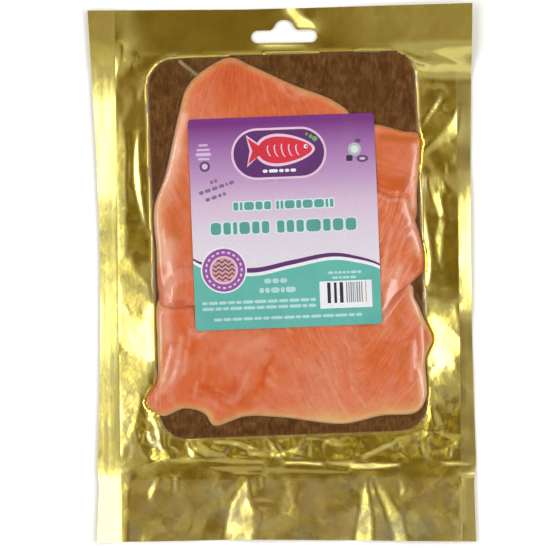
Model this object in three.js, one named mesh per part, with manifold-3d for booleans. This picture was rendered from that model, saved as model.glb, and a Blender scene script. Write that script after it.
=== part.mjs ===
// Flat vacuum pack of sliced smoked salmon, lying on its back with the label up.
//
// A gold foil back panel and a clear front film are sealed together round a board that carries
// four overlapping slices.  A paper label is stuck on the film, the header has a hang slot, and
// below the bottom seal the two webs run on as a loose skirt.
//
// Units are millimetres.  X is the pack's width, +Y points at the header with the hang slot, and
// +Z is up, out of the label.  The origin is the middle of the pouch on its underside.
//
// Every layer is a height field on one shared grid, split into the same triangles.  A layer that
// clears the one below it at the grid's nodes therefore clears it everywhere.

import * as THREE from 'three';
import { mergeVertices } from 'three/addons/utils/BufferGeometryUtils.js';
import Module from 'manifold-3d';

const wasm = await Module();
wasm.setup();

// ---------------------------------------------------------------- driving dimensions

const POUCH_WIDTH = 184;
const POUCH_LENGTH = 254;
const DRAW_IN_LEFT = 4.4;           // how far each long edge is pulled in by the vacuum
const DRAW_IN_RIGHT = 2.2;
const FOOT_NARROWS = 1.4;           // how far the skirt's corners are pulled in
// The ends aren't cut quite square: [position across the pack, shift up].
const HEADER_SLANT = [[-92, 0], [-16, -0.5], [92, 1.1]];
const FOOT_SLANT = [[-92, -0.4], [-16, 0], [92, -2.3]];
const SLANT_STARTS = 104;           // the header's rows are square up to here
const FOIL_THICKNESS = 0.3;
const FILM_THICKNESS = 0.3;
const CLEARANCE = 0.3;              // between any two layers

const BOARD = { x: 2.2, y: 13.7, width: 128.2, length: 181.6, corner: 13, turn: 1.35 };
const BOARD_THICKNESS = 0.7;

const LABEL = { x: 1.05, y: 24.75, width: 89, length: 101, corner: 1.6, turn: 1.5 };
const LABEL_THICKNESS = 0.3;

const SLOT = { x: 1.9, y: 113.5, width: 31.75, height: 6.2 };
const SLOT_BUMP = { base: 13, top: 5, height: 4.9, bevel: 1 };
const ARC_STEPS = 6;                // pieces in each round end of the slot and corner of the board

const SLICE_THICKNESS = 3.1;
const SLICE_EDGE_THICKNESS = 1.8;
const SLICE_TAPER = 13;             // the distance from the rim over which a slice thins out
const MUSCLE_RELIEF = 0.35;         // height of the soft waves in a slice
const MUSCLE_PITCH = 34;

const SEAL_LEFT = -79;              // inner lines of the heat seals
const SEAL_RIGHT = 84;
const SEAL_TOP = 107.5;
const SEAL_BOTTOM = [-97.5, -89];
const BELOW_SEAL = 5;               // the skirt has its full narrowness this far below the seal
const SKIRT_PUFF = 1.2;             // how far the loose front web stands off the back one
const SKIRT_PUFF_EDGE = 4;          // the greater, the steeper it falls at the skirt's sides

// The rims of the slices, clockwise from above.
const SLICES = [
  {
    name: 'salmon_slice_1',         // the wide one across the foot of the board
    rim: [
      [61.6, -6.5], [62.4, -11.9], [64.3, -15.9], [66.6, -21.5], [68.9, -26.3], [71, -32.5],
      [67.6, -41], [67.6, -60], [63, -67], [46, -68.6], [28, -72.2], [-2.5, -68.7],
      [-19, -68.1], [-34.2, -72.2], [-38.5, -66.6], [-47.9, -63.9], [-59, -67.4],
      [-66.2, -60.5], [-61.4, -52], [-60.6, -35], [-60, -12], [-52, -3], [-30, 0], [0, 0],
      [35, -1], [54, -2.5],
    ],
  },
  {
    name: 'salmon_slice_2',         // upper right, half of it hidden by the label
    rim: [
      [65.2, 66], [66, 55], [64.5, 39], [63, 24], [52, 17], [24, 17], [8, 24], [4, 42], [12, 58],
      [28, 68], [44, 70.9], [58, 67.4],
    ],
  },
  {
    name: 'salmon_slice_3',         // the long one from the top of the board down its left side
    rim: [
      [-24, 103.6], [-14, 99.6], [5, 90.6], [26, 81.8], [33, 75], [27, 60], [17, 40], [12, 20],
      [8, 0], [0, -14], [-20, -17], [-42, -15.5], [-58, -15], [-60, -7], [-60.4, 11],
      [-61.3, 32], [-55.8, 48], [-49, 77], [-44.8, 90], [-36.5, 98],
    ],
  },
  {
    name: 'salmon_slice_4',         // right, a wedge whose point lies behind the label's corner
    rim: [
      [59.4, 35.5], [61.8, 28.8], [64.1, 22.4], [66, 15.2], [67, 9], [66.7, 0.5], [63.8, -3],
      [59.5, -6.5], [52.5, -13.5], [47, -21], [42, -22.5], [35, -18], [29, -10], [26, 8],
      [27.5, 27], [36, 38.5], [44.4, 39.2], [51, 36.3],
    ],
  },
];

// ---------------------------------------------------------------- small helpers

const radians = THREE.MathUtils.degToRad;
const { clamp, smoothstep } = THREE.MathUtils;

// A repeatable stream of numbers from 0 to 1.
function randomStream(seed) {
  let state = seed >>> 0;
  return () => {
    state = (state + 0x6d2b79f5) >>> 0;
    let t = Math.imul(state ^ (state >>> 15), 1 | state);
    t = (t + Math.imul(t ^ (t >>> 7), 61 | t)) ^ t;
    return ((t ^ (t >>> 14)) >>> 0) / 4294967296;
  };
}

// From one number to another in equal steps, leaving the last one out.
function steps(from, to, count) {
  return Array.from({ length: count }, (_, k) => from + ((to - from) * k) / count);
}

// The value at one place of a table of [place, value], with straight lines between its rows.
function between(table, place) {
  const k = clamp(table.findIndex(([at]) => at >= place), 1, table.length - 1);
  const [[from, low], [to, high]] = [table[k - 1], table[k]];
  return low + (high - low) * clamp((place - from) / (to - from), 0, 1);
}

// The distance from a point to a segment, and how far along it the nearest point lies (0 to 1).
function toSegment(x, y, [ax, ay], [bx, by]) {
  const lengthSquared = (bx - ax) ** 2 + (by - ay) ** 2;
  const along = clamp(((x - ax) * (bx - ax) + (y - ay) * (by - ay)) / lengthSquared, 0, 1);
  const distance = Math.hypot(x - ax - along * (bx - ax), y - ay - along * (by - ay));
  return { distance, along };
}

// ---------------------------------------------------------------- the shared grid

const BOARD_EDGES = { left: -62, right: 67, bottom: -78, top: 106 };
const HALF_WIDTH = POUCH_WIDTH / 2;
const HALF_LENGTH = POUCH_LENGTH / 2;

const COLUMNS = [
  ...steps(-HALF_WIDTH, SEAL_LEFT, 3),
  ...steps(SEAL_LEFT, BOARD_EDGES.left, 4),
  ...steps(BOARD_EDGES.left, BOARD_EDGES.right, 17),
  ...steps(BOARD_EDGES.right, SEAL_RIGHT, 3),
  ...steps(SEAL_RIGHT, HALF_WIDTH, 2),
  HALF_WIDTH,
];
const ROWS = [
  ...steps(-HALF_LENGTH, BOARD_EDGES.bottom, 9),
  ...steps(BOARD_EDGES.bottom, BOARD_EDGES.top, 22),
  ...steps(BOARD_EDGES.top, HALF_LENGTH, 4),
  HALF_LENGTH,
];
const WIDE = COLUMNS.length;
const HIGH = ROWS.length;

// The long edges of the pouch bow inwards and its ends slant, and the grid goes with them.
function laidOut(x, y) {
  const bow = Math.cos((Math.PI * y) / POUCH_LENGTH);
  const foot = FOOT_NARROWS * smoothstep(-y, -SEAL_BOTTOM[1], BELOW_SEAL - SEAL_BOTTOM[0]);
  const left = clamp((SEAL_LEFT - x) / (SEAL_LEFT + HALF_WIDTH), 0, 1);
  const right = clamp((x - SEAL_RIGHT) / (HALF_WIDTH - SEAL_RIGHT), 0, 1);
  const slant = smoothstep(y, SLANT_STARTS, HALF_LENGTH) * between(HEADER_SLANT, x)
    + smoothstep(-y, -SEAL_BOTTOM[0], HALF_LENGTH) * between(FOOT_SLANT, x);
  return {
    x: x + (DRAW_IN_LEFT * bow + foot) * left - (DRAW_IN_RIGHT * bow + foot) * right,
    y: y + slant,
  };
}

const NODES = ROWS.flatMap((y) => COLUMNS.map((x) => laidOut(x, y)));
const nodeIndex = (column, row) => row * WIDE + column;

// The two triangles of a cell, as corners counted from its lower left one.
function cellTriangles(column, row) {
  const [a, b] = [[column, row], [column + 1, row]];
  const [c, d] = [[column + 1, row + 1], [column, row + 1]];
  return (column + row) % 2 ? [[a, b, c], [a, c, d]] : [[a, b, d], [b, c, d]];
}

// ---------------------------------------------------------------- outlines

function outline(points) {
  const shape = new THREE.Shape(points.map(([x, y]) => new THREE.Vector2(x, y)));
  return { points, shape };
}

// A smooth closed rim through a few points.
function smoothOutline(knots, pieces) {
  const curve = new THREE.CatmullRomCurve3(
    knots.map(([x, y]) => new THREE.Vector3(x, y, 0)), true, 'centripetal');
  return outline(curve.getPoints(pieces).slice(0, -1).map((p) => [p.x, p.y]));
}

// A rounded rectangle, turned anticlockwise about its middle.
function roundedRectangle({ x, y, width, length, corner, turn }, cornerSteps) {
  const points = [];
  const [cos, sin] = [Math.cos(radians(turn)), Math.sin(radians(turn))];
  const centres = [[1, 1, 0], [-1, 1, 90], [-1, -1, 180], [1, -1, 270]];
  for (const [sx, sy, start] of centres) {
    for (let k = 0; k <= cornerSteps; k += 1) {
      const angle = radians(start + (90 * k) / cornerSteps);
      const px = sx * (width / 2 - corner) + corner * Math.cos(angle);
      const py = sy * (length / 2 - corner) + corner * Math.sin(angle);
      points.push([x + px * cos - py * sin, y + px * sin + py * cos]);
    }
  }
  return outline(points);
}

// The hang slot: round ends, and a bump in the middle of its upper side.
function hangSlot() {
  const radius = SLOT.height / 2;
  const reach = SLOT.width / 2 - radius;
  const arc = (centre, from, to) => [...steps(from, to, ARC_STEPS), to].map((degrees) => {
    const angle = radians(degrees);
    return [centre + radius * Math.cos(angle), SLOT.y + radius * Math.sin(angle)];
  });
  const crest = SLOT.y + radius + SLOT_BUMP.height;
  const [base, top] = [SLOT_BUMP.base / 2, SLOT_BUMP.top / 2];
  const half = [
    [base, SLOT.y + radius],
    [top + SLOT_BUMP.bevel, crest - SLOT_BUMP.bevel],
    [top - SLOT_BUMP.bevel, crest],
  ];
  const bump = [
    ...half.map(([x, y]) => [SLOT.x + x, y]),
    ...half.reverse().map(([x, y]) => [SLOT.x - x, y]),
  ];
  return outline([...arc(SLOT.x + reach, -90, 90), ...bump, ...arc(SLOT.x - reach, 90, 270)]);
}

function inside({ points }, x, y) {
  let within = false;
  for (let k = 0, last = points.length - 1; k < points.length; last = k, k += 1) {
    const [ax, ay] = points[k];
    const [bx, by] = points[last];
    if ((ay > y) !== (by > y) && x < ((bx - ax) * (y - ay)) / (by - ay) + ax) within = !within;
  }
  return within;
}

function rimDistance({ points }, x, y) {
  return Math.min(...points.map((point, k) =>
    toSegment(x, y, point, points[(k + 1) % points.length]).distance));
}

const RIM_SAMPLES = 12;             // points looked at on each piece of a rim
const COLUMN_LEAN = 0.5;            // a cell's columns lean by up to this much

// The nodes of every cell that an outline covers or crosses.
function coveredNodes(area) {
  const covered = new Set();
  const addCell = (column, row) => {
    for (const [i, j] of [[0, 0], [1, 0], [0, 1], [1, 1]]) {
      covered.add(nodeIndex(column + i, row + j));
    }
  };
  const rimPoints = area.points.flatMap((point, k) => {
    const next = area.points[(k + 1) % area.points.length];
    return steps(0, 1, RIM_SAMPLES).map((t) => [
      point[0] + t * (next[0] - point[0]), point[1] + t * (next[1] - point[1])]);
  });
  for (let row = 0; row < HIGH - 1; row += 1) {
    for (let column = 0; column < WIDE - 1; column += 1) {
      const low = NODES[nodeIndex(column, row)];
      const high = NODES[nodeIndex(column + 1, row + 1)];
      const crossed = rimPoints.some(([x, y]) => x > low.x - COLUMN_LEAN
        && x < high.x + COLUMN_LEAN && y > low.y - COLUMN_LEAN && y < high.y + COLUMN_LEAN);
      if (crossed || inside(area, low.x, low.y)) addCell(column, row);
    }
  }
  return covered;
}

// ---------------------------------------------------------------- solids

function geometryToSolid(geometry) {
  const bare = geometry.clone();
  bare.deleteAttribute('normal');
  bare.deleteAttribute('uv');
  const merged = mergeVertices(bare, 1e-4);
  return new wasm.Manifold(new wasm.Mesh({
    numProp: 3,
    vertProperties: new Float32Array(merged.attributes.position.array),
    triVerts: new Uint32Array(merged.index.array),
  }));
}

function solidToGeometry(solid) {
  const { vertProperties, triVerts } = solid.getMesh();
  const geometry = new THREE.BufferGeometry();
  geometry.setAttribute('position', new THREE.BufferAttribute(vertProperties, 3));
  geometry.setIndex(new THREE.BufferAttribute(triVerts, 1));
  geometry.computeVertexNormals();
  return geometry;
}

// An upright prism over an outline, tall enough to cut any layer.
function prism({ shape }, bottom, height) {
  const geometry = new THREE.ExtrudeGeometry(shape, { depth: height, bevelEnabled: false });
  return geometryToSolid(geometry.translate(0, 0, bottom));
}

const CUTTER_BOTTOM = -10;
const CUTTER_HEIGHT = 40;
const cutter = (area) => prism(area, CUTTER_BOTTOM, CUTTER_HEIGHT);

// A closed sheet between two sets of node heights, over a block of cells.
function sheet(bottom, top, { columns, rows }) {
  const wide = columns[1] - columns[0] + 1;
  const high = rows[1] - rows[0] + 1;
  const positions = [];
  for (const heights of [bottom, top]) {
    for (let row = rows[0]; row <= rows[1]; row += 1) {
      for (let column = columns[0]; column <= columns[1]; column += 1) {
        const node = nodeIndex(column, row);
        positions.push(NODES[node].x, NODES[node].y, heights[node]);
      }
    }
  }
  const lower = ([column, row]) => (row - rows[0]) * wide + column - columns[0];
  const upper = (corner) => lower(corner) + wide * high;
  const triangles = [];
  for (let row = rows[0]; row < rows[1]; row += 1) {
    for (let column = columns[0]; column < columns[1]; column += 1) {
      for (const [p, q, r] of cellTriangles(column, row)) {
        triangles.push(upper(p), upper(q), upper(r), lower(p), lower(r), lower(q));
      }
    }
  }
  const wall = (p, q) => {
    triangles.push(lower(p), lower(q), upper(q), lower(p), upper(q), upper(p));
  };
  for (let column = columns[0]; column < columns[1]; column += 1) {
    wall([column, rows[0]], [column + 1, rows[0]]);
    wall([column + 1, rows[1]], [column, rows[1]]);
  }
  for (let row = rows[0]; row < rows[1]; row += 1) {
    wall([columns[1], row], [columns[1], row + 1]);
    wall([columns[0], row + 1], [columns[0], row]);
  }
  return new wasm.Manifold(new wasm.Mesh({
    numProp: 3,
    vertProperties: new Float32Array(positions),
    triVerts: new Uint32Array(triangles),
  }));
}

const WHOLE_GRID = { columns: [0, WIDE - 1], rows: [0, HIGH - 1] };

// The smallest block of cells round an outline.
function blockAround({ points }) {
  const span = (lines, values) => [
    lines.findLastIndex((line) => line < Math.min(...values)),
    lines.findIndex((line) => line > Math.max(...values)),
  ];
  return {
    columns: span(COLUMNS, points.map(([x]) => x)),
    rows: span(ROWS, points.map(([, y]) => y)),
  };
}

// ---------------------------------------------------------------- the folds in the foil

// Each fold is a ridge along a segment, highest part way along and gone at both ends.
const folds = [];
function addFold(from, to, width, height) {
  folds.push({ from, to, width, height });
}

// Creases fan out of each corner of the board towards the seals.
const FAN = { creases: 4, inset: 6, start: 8, reach: 20, spread: 10, width: 2.6 };
const FAN_CORNERS = [               // which corner, and the angles its fan runs between
  [1, 1, 45, 100], [-1, 1, 80, 135], [-1, -1, 190, 262], [1, -1, 278, 350],
];

function addCornerFans() {
  const random = randomStream(5);
  for (const [sx, sy, start, end] of FAN_CORNERS) {
    const x = BOARD.x + sx * (BOARD.width / 2 - FAN.inset);
    const y = BOARD.y + sy * (BOARD.length / 2 - FAN.inset);
    for (let k = 0; k < FAN.creases; k += 1) {
      const angle = radians(start + ((end - start) * (k + random() * 0.6)) / FAN.creases);
      const reach = FAN.reach + FAN.spread * random();
      const [dx, dy] = [Math.cos(angle), Math.sin(angle)];
      addFold([x + FAN.start * dx, y + FAN.start * dy], [x + reach * dx, y + reach * dy],
        FAN.width, 1 + random());
    }
  }
}

// Long soft folds run down both sides between the board and the seal.
function addSideFolds() {
  addFold([-69, 88], [-71, 45], 3.4, 1.5);
  addFold([-70, 62], [-69, -2], 3.2, 1.7);
  addFold([-75, -5], [-70, -52], 4.2, 1.6);
  addFold([73, 82], [79, 62], 3.4, 1.5);
  addFold([78, 60], [71, 38], 3, 1.7);
  addFold([73, 36], [78, 2], 3, 1.8);
  addFold([76, -8], [80, -36], 4.4, 2);
  addFold([74, -42], [82, -62], 3.4, 1.5);
}

// A row of short upright crinkles fills the strip between the board and the bottom seal.
const CRINKLE = { pitch: 9.5, lean: 5, shift: 4, foot: -89, head: -80, width: 2.6, height: 0.9 };

function addCrinkleRow() {
  const random = randomStream(11);
  for (let x = BOARD_EDGES.left; x < BOARD_EDGES.right; x += CRINKLE.pitch) {
    const lean = CRINKLE.lean * (random() - 0.5);
    const foot = x + CRINKLE.shift * (random() - 0.5);
    addFold([foot, CRINKLE.foot], [foot + lean, CRINKLE.head], CRINKLE.width,
      CRINKLE.height * (1 + random()));
  }
}

// The loose skirt has a few folds that fan down from the seal to the hem.
function addSkirtFolds() {
  addFold([-30, -99], [-20, -127], 5, 1.6);
  addFold([-34, -99], [-44, -127], 3.6, 1);
  addFold([5, -99], [2, -122], 3.6, 1.3);
  addFold([38, -99], [34, -124], 3.6, 1.3);
  addFold([58, -99], [44, -120], 3.6, 1.5);
}

addCornerFans();
addSideFolds();
addCrinkleRow();
addSkirtFolds();

const SEAL_FADE = 3;                // the folds die out this far from a seal
const FOLD_ENDS = 0.35;             // height of a fold at its two ends, as a share

function inSeal(y) {
  return y > SEAL_BOTTOM[0] && y < SEAL_BOTTOM[1];
}

// The height of the foil's underside over the floor.
function foldHeight(x, y) {
  if (inSeal(y)) return 0;
  const fade = smoothstep(x - SEAL_LEFT, 0, SEAL_FADE)
    * smoothstep(SEAL_RIGHT - x, 0, SEAL_FADE) * smoothstep(SEAL_TOP - y, 0, SEAL_FADE);
  let height = 0;
  for (const fold of folds) {
    const { distance, along } = toSegment(x, y, fold.from, fold.to);
    const profile = Math.exp(-((distance / fold.width) ** 2));
    const rise = FOLD_ENDS + (1 - FOLD_ENDS) * Math.sin(Math.PI * along);
    height = Math.max(height, fold.height * profile * rise);
  }
  return height * fade;
}

// Outside the side seals the edges curl up: [position along the pack, slope].
const LEFT_CURL = [[-127, 0.24], [-100, 0.24], [-92, 0.19], [30, 0.18], [40, 0.2], [92, 0.19],
  [100, 0.13], [112, 0]];
const RIGHT_CURL = [[-127, 0.14], [-97, 0.15], [-88, 0.04], [-60, 0.1], [-32, 0.05], [-18, 0.18],
  [36, 0.19], [52, 0.04], [68, 0.12], [90, 0.02], [96, 0]];

// The header bends up towards its two corners: [position across the pack, height].
const HEADER_BEND = [[-92, 2.9], [-82, 1.9], [-73, 0.85], [-60, 0], [14, 0], [26, 0.4], [40, 1.4],
  [92, 6.4]];
const BEND_STARTS = 90;             // and is fully bent where its seal begins

function edgeLift(x, y) {
  const curl = between(LEFT_CURL, y) * Math.max(SEAL_LEFT - x, 0)
    + between(RIGHT_CURL, y) * Math.max(x - SEAL_RIGHT, 0);
  return curl + smoothstep(y, BEND_STARTS, SEAL_TOP) * between(HEADER_BEND, x);
}

// ---------------------------------------------------------------- the stack of layers

const boardOutline = roundedRectangle(BOARD, ARC_STEPS);
const labelOutline = roundedRectangle(LABEL, 2);
const slotOutline = hangSlot();
const underBoard = coveredNodes(boardOutline);
const raise = (heights, amount) => heights.map((height) => height + amount);

const foilBottom = NODES.map(({ x, y }, node) =>
  (underBoard.has(node) ? 0 : foldHeight(x, y) + edgeLift(x, y)));
const foilTop = raise(foilBottom, FOIL_THICKNESS);

const boardBottom = FOIL_THICKNESS + CLEARANCE;
const boardTop = boardBottom + BOARD_THICKNESS;

// What carries the next slice, or the film: the highest thing under each node.
const support = foilTop.map((height, node) => (underBoard.has(node) ? boardTop : height));

// Soft waves across the muscle.
function muscle(x, y) {
  const across = (2 * Math.PI * (x + 0.4 * y)) / MUSCLE_PITCH;
  const down = (2 * Math.PI * (y - 0.3 * x)) / (1.7 * MUSCLE_PITCH);
  return MUSCLE_RELIEF * (0.6 * Math.sin(across) + 0.4 * Math.sin(down));
}

function layDownSlice({ rim }) {
  const rimPieces = 3 * rim.length;
  const area = smoothOutline(rim, rimPieces);
  const bottom = raise(support, CLEARANCE);
  const top = bottom.map((height, node) => {
    const { x, y } = NODES[node];
    const depth = inside(area, x, y) ? rimDistance(area, x, y) : 0;
    const fullness = Math.sin((Math.PI / 2) * clamp(depth / SLICE_TAPER, 0, 1));
    const body = (SLICE_THICKNESS - SLICE_EDGE_THICKNESS + muscle(x, y)) * fullness;
    return height + SLICE_EDGE_THICKNESS + body;
  });
  for (const node of coveredNodes(area)) support[node] = top[node];
  return sheet(bottom, top, blockAround(area)).intersect(cutter(area));
}

// A taut web: each free node rises to the mean of its neighbours, never under what carries it.
function tighten(heights, free, rounds) {
  let taut = heights;
  for (let round = 0; round < rounds; round += 1) {
    taut = taut.map((height, node) => {
      if (!free.has(node)) return height;
      const mean = (taut[node - 1] + taut[node + 1] + taut[node - WIDE] + taut[node + WIDE]) / 4;
      return Math.max(heights[node], mean);
    });
  }
  return taut;
}

const FILM_ROUNDS = 1;              // the film clings closely
const LABEL_ROUNDS = 12;            // the stiffer label bridges the slices' steps

// The front web stands off the back one in the skirt, which nothing presses together.
function skirtPuff(x, y) {
  const down = clamp((SEAL_BOTTOM[0] - y) / (HALF_LENGTH + SEAL_BOTTOM[0]), 0, 1);
  const across = clamp(1 - (Math.abs(x) / HALF_WIDTH) ** SKIRT_PUFF_EDGE, 0, 1);
  return SKIRT_PUFF * Math.sqrt(down) * across;
}

const sliceSolids = SLICES.map((slice) => ({ name: slice.name, solid: layDownSlice(slice) }));

const filmRest = raise(support, CLEARANCE).map((height, node) =>
  height + skirtPuff(NODES[node].x, NODES[node].y));
const filmBottom = tighten(filmRest, underBoard, FILM_ROUNDS);
const filmTop = raise(filmBottom, FILM_THICKNESS);

const labelBottom = tighten(raise(filmTop, CLEARANCE), coveredNodes(labelOutline), LABEL_ROUNDS);
const labelTop = raise(labelBottom, LABEL_THICKNESS);

const slotCutter = cutter(slotOutline);
const foilSolid = sheet(foilBottom, foilTop, WHOLE_GRID).subtract(slotCutter);
const filmSolid = sheet(filmBottom, filmTop, WHOLE_GRID).subtract(slotCutter);
const boardSolid = prism(boardOutline, boardBottom, BOARD_THICKNESS);
const labelSolid = sheet(labelBottom, labelTop, blockAround(labelOutline))
  .intersect(cutter(labelOutline));

// ---------------------------------------------------------------- the scene graph

const MATERIALS = {
  foil: { color: 0xb39a3f, roughness: 0.28, metalness: 1 },
  board: { color: 0x5c3719, roughness: 0.55, metalness: 0 },
  salmon: { color: 0xd4683c, roughness: 0.35, metalness: 0 },
  film: { color: 0xf4f4f0, roughness: 0.08, metalness: 0, transparent: true, opacity: 0.2 },
  label: { color: 0x9a78b8, roughness: 0.45, metalness: 0 },
};

const pack = new THREE.Group();
pack.name = 'smoked_salmon_pack';

function addPiece(name, solid, finish) {
  const material = new THREE.MeshStandardMaterial(MATERIALS[finish]);
  const piece = new THREE.Mesh(solidToGeometry(solid), material);
  piece.name = name;
  pack.add(piece);
}

addPiece('foil_back', foilSolid, 'foil');
addPiece('board', boardSolid, 'board');
for (const { name, solid } of sliceSolids) addPiece(name, solid, 'salmon');
addPiece('clear_film', filmSolid, 'film');
addPiece('label', labelSolid, 'label');

export default pack;
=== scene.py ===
"""Looks of a flat vacuum pack of sliced smoked salmon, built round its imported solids.

Every layer of the pack is a thin closed sheet over one fine grid of heights: the creased foil
back, the board, four slices, the clear film drawn down over them and the paper label on top.
Sizes are in millimetres until a mesh is written, which is in metres in the frame's own axes:
+X across the pack, +Y towards the hang slot, +Z up out of the label.
"""

import math

import bpy
import numpy as np
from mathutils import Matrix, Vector
from mathutils.geometry import delaunay_2d_cdt


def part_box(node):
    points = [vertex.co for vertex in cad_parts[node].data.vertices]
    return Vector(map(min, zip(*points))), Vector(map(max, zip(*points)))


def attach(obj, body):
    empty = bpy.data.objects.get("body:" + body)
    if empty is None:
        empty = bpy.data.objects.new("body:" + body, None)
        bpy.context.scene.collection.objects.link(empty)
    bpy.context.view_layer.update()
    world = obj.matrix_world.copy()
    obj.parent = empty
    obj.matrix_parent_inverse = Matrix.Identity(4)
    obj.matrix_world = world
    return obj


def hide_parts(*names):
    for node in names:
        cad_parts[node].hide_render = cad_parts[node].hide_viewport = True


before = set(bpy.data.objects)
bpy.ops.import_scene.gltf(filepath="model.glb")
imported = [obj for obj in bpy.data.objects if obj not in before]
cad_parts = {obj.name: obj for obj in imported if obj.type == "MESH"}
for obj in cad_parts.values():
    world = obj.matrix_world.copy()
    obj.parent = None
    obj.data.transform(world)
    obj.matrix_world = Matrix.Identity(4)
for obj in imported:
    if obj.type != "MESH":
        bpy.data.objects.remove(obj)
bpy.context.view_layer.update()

MM = 0.001                          # metres in a millimetre


def node_box(node):
    """The lowest and highest corner of a solid, in millimetres."""
    low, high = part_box(node)
    return np.array(low) / MM, np.array(high) / MM


# ------------------------------------------------------------------ sizes

HALF_WIDTH = node_box("foil_back")[1][0]
HALF_LENGTH = 127.0
BOARD_BOTTOM, BOARD_TOP = (corner[2] for corner in node_box("board"))

DRAW_IN_LEFT = 4.4                  # how far the long edges are pulled in by the vacuum
DRAW_IN_RIGHT = 2.2
FOOT_NARROWS = 1.4                  # how far the skirt's corners are pulled in
HEADER_SLANT = [(-92, 0.0), (-16, -0.5), (92, 1.1)]    # the ends aren't cut quite square:
FOOT_SLANT = [(-92, -0.4), (-16, 0.0), (92, -2.3)]     # position across the pack, shift up

BOARD = dict(x=2.2, y=13.7, width=128.2, length=181.6, corner=13.0, turn=1.35)
LABEL = dict(x=1.05, y=24.75, width=89.0, length=101.0, corner=1.6, turn=1.5)
SLOT = dict(x=1.9, y=113.5, width=31.75, height=6.2)
SLOT_BUMP = dict(base=13.0, top=5.0, height=4.9)

SEAL_LEFT = -79.0                   # inner lines of the heat seals
SEAL_RIGHT = 84.0
SEAL_TOP = 107.5
SEAL_BOTTOM = (-97.5, -89.0)

FOIL_THICKNESS = 0.25
FILM_THICKNESS = 0.08
LABEL_THICKNESS = 0.14
LAYER_GAP = 0.12                    # keeps one layer's facets out of the next one's

SLICE_FULL = 3.1
SLICE_EDGE = 1.8
SLICE_TAPER = 13.0
RIM_ROUND = 1.3                     # the rim of a slice rolls over within this distance
RIM_THICKNESS = 0.12                # and is this thin at its very edge

# ------------------------------------------------------------------ small numeric helpers


def smoothstep(value, low, high):
    t = np.clip((value - low) / (high - low), 0.0, 1.0)
    return t * t * (3.0 - 2.0 * t)


def span(value, start, full, fade, end):
    """Up from 0 to 1 between start and full, and down again between fade and end."""
    return smoothstep(value, start, full) * smoothstep(-value, -end, -fade)


def bell(value, middle=0.0, half_width=1.0):
    return np.exp(-((value - middle) / half_width) ** 2)


def toward(value, target, share):
    """The value, moved by a share of the way to a target."""
    return value + (target - value) * share


def soft_max(a, b, radius):
    """The larger of two heights, with the crease between them rounded off."""
    blend = np.clip(0.5 + 0.5 * (a - b) / radius, 0.0, 1.0)
    return b + (a - b) * blend + radius * blend * (1.0 - blend)


def soft_min(a, b, radius):
    return -soft_max(-a, -b, radius)


def noise(x, y, pitch, seed):
    """Smooth noise from -1 to 1, with one random value every pitch millimetres."""
    size = 256
    table = np.random.default_rng(seed).uniform(-1.0, 1.0, (size, size))
    u = np.asarray(x) / pitch + size / 2
    v = np.asarray(y) / pitch + size / 2
    column = np.floor(u).astype(int)
    row = np.floor(v).astype(int)
    fu = smoothstep(u - column, 0.0, 1.0)
    fv = smoothstep(v - row, 0.0, 1.0)

    def value(i, j):
        return table[(column + i) % size, (row + j) % size]

    low = value(0, 0) * (1 - fu) + value(1, 0) * fu
    high = value(0, 1) * (1 - fu) + value(1, 1) * fu
    return low * (1 - fv) + high * fv


def layered_noise(x, y, pitch, seed, octaves=3):
    total = 0.0
    for octave in range(octaves):
        total = total + noise(x, y, pitch / 2 ** octave, seed + octave) / 2 ** octave
    return total / (2.0 - 2.0 ** (1 - octaves))


# ------------------------------------------------------------------ outlines


def smooth_rim(knots, spacing):
    """A smooth closed rim through a few knots, as a centripetal Catmull-Rom curve."""
    knots = np.array(knots, dtype=float)
    count = len(knots)
    points = []
    for k in range(count):
        p0, p1, p2, p3 = (knots[(k + i) % count] for i in (-1, 0, 1, 2))
        t1 = max(np.linalg.norm(p1 - p0), 1e-6) ** 0.5
        t2 = t1 + max(np.linalg.norm(p2 - p1), 1e-6) ** 0.5
        t3 = t2 + max(np.linalg.norm(p3 - p2), 1e-6) ** 0.5
        pieces = max(2, round(np.linalg.norm(p2 - p1) / spacing))
        for t in np.linspace(t1, t2, pieces, endpoint=False):
            a1 = (t1 - t) / t1 * p0 + t / t1 * p1
            a2 = (t2 - t) / (t2 - t1) * p1 + (t - t1) / (t2 - t1) * p2
            a3 = (t3 - t) / (t3 - t2) * p2 + (t - t2) / (t3 - t2) * p3
            b1 = (t2 - t) / t2 * a1 + t / t2 * a2
            b2 = (t3 - t) / (t3 - t1) * a2 + (t - t1) / (t3 - t1) * a3
            points.append((t2 - t) / (t2 - t1) * b1 + (t - t1) / (t2 - t1) * b2)
    return np.array(points)


def turned(points, x, y, turn):
    """Points round an origin, turned anticlockwise in degrees and moved to x, y."""
    cos, sin = math.cos(math.radians(turn)), math.sin(math.radians(turn))
    points = np.asarray(points, dtype=float)
    return np.stack([
        x + points[:, 0] * cos - points[:, 1] * sin,
        y + points[:, 0] * sin + points[:, 1] * cos,
    ], axis=1)


def spaced(points, spacing):
    """The same closed outline with its long sides cut into short steps."""
    result = []
    for start, end in zip(points, np.roll(points, -1, axis=0)):
        pieces = max(1, round(np.linalg.norm(end - start) / spacing))
        for k in range(pieces):
            result.append(start + (end - start) * k / pieces)
    return np.array(result)


def rounded_rectangle(width, length, corner, steps=6):
    """A rounded rectangle round the origin, anticlockwise."""
    points = []
    for sx, sy, start in ((1, 1, 0), (-1, 1, 90), (-1, -1, 180), (1, -1, 270)):
        for k in range(steps + 1):
            angle = math.radians(start + 90 * k / steps)
            points.append((
                sx * (width / 2 - corner) + corner * math.cos(angle),
                sy * (length / 2 - corner) + corner * math.sin(angle),
            ))
    return np.array(points)


def placed_rectangle(spec, spacing):
    outline = rounded_rectangle(spec["width"], spec["length"], spec["corner"])
    return spaced(turned(outline, spec["x"], spec["y"], spec["turn"]), spacing)


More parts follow.
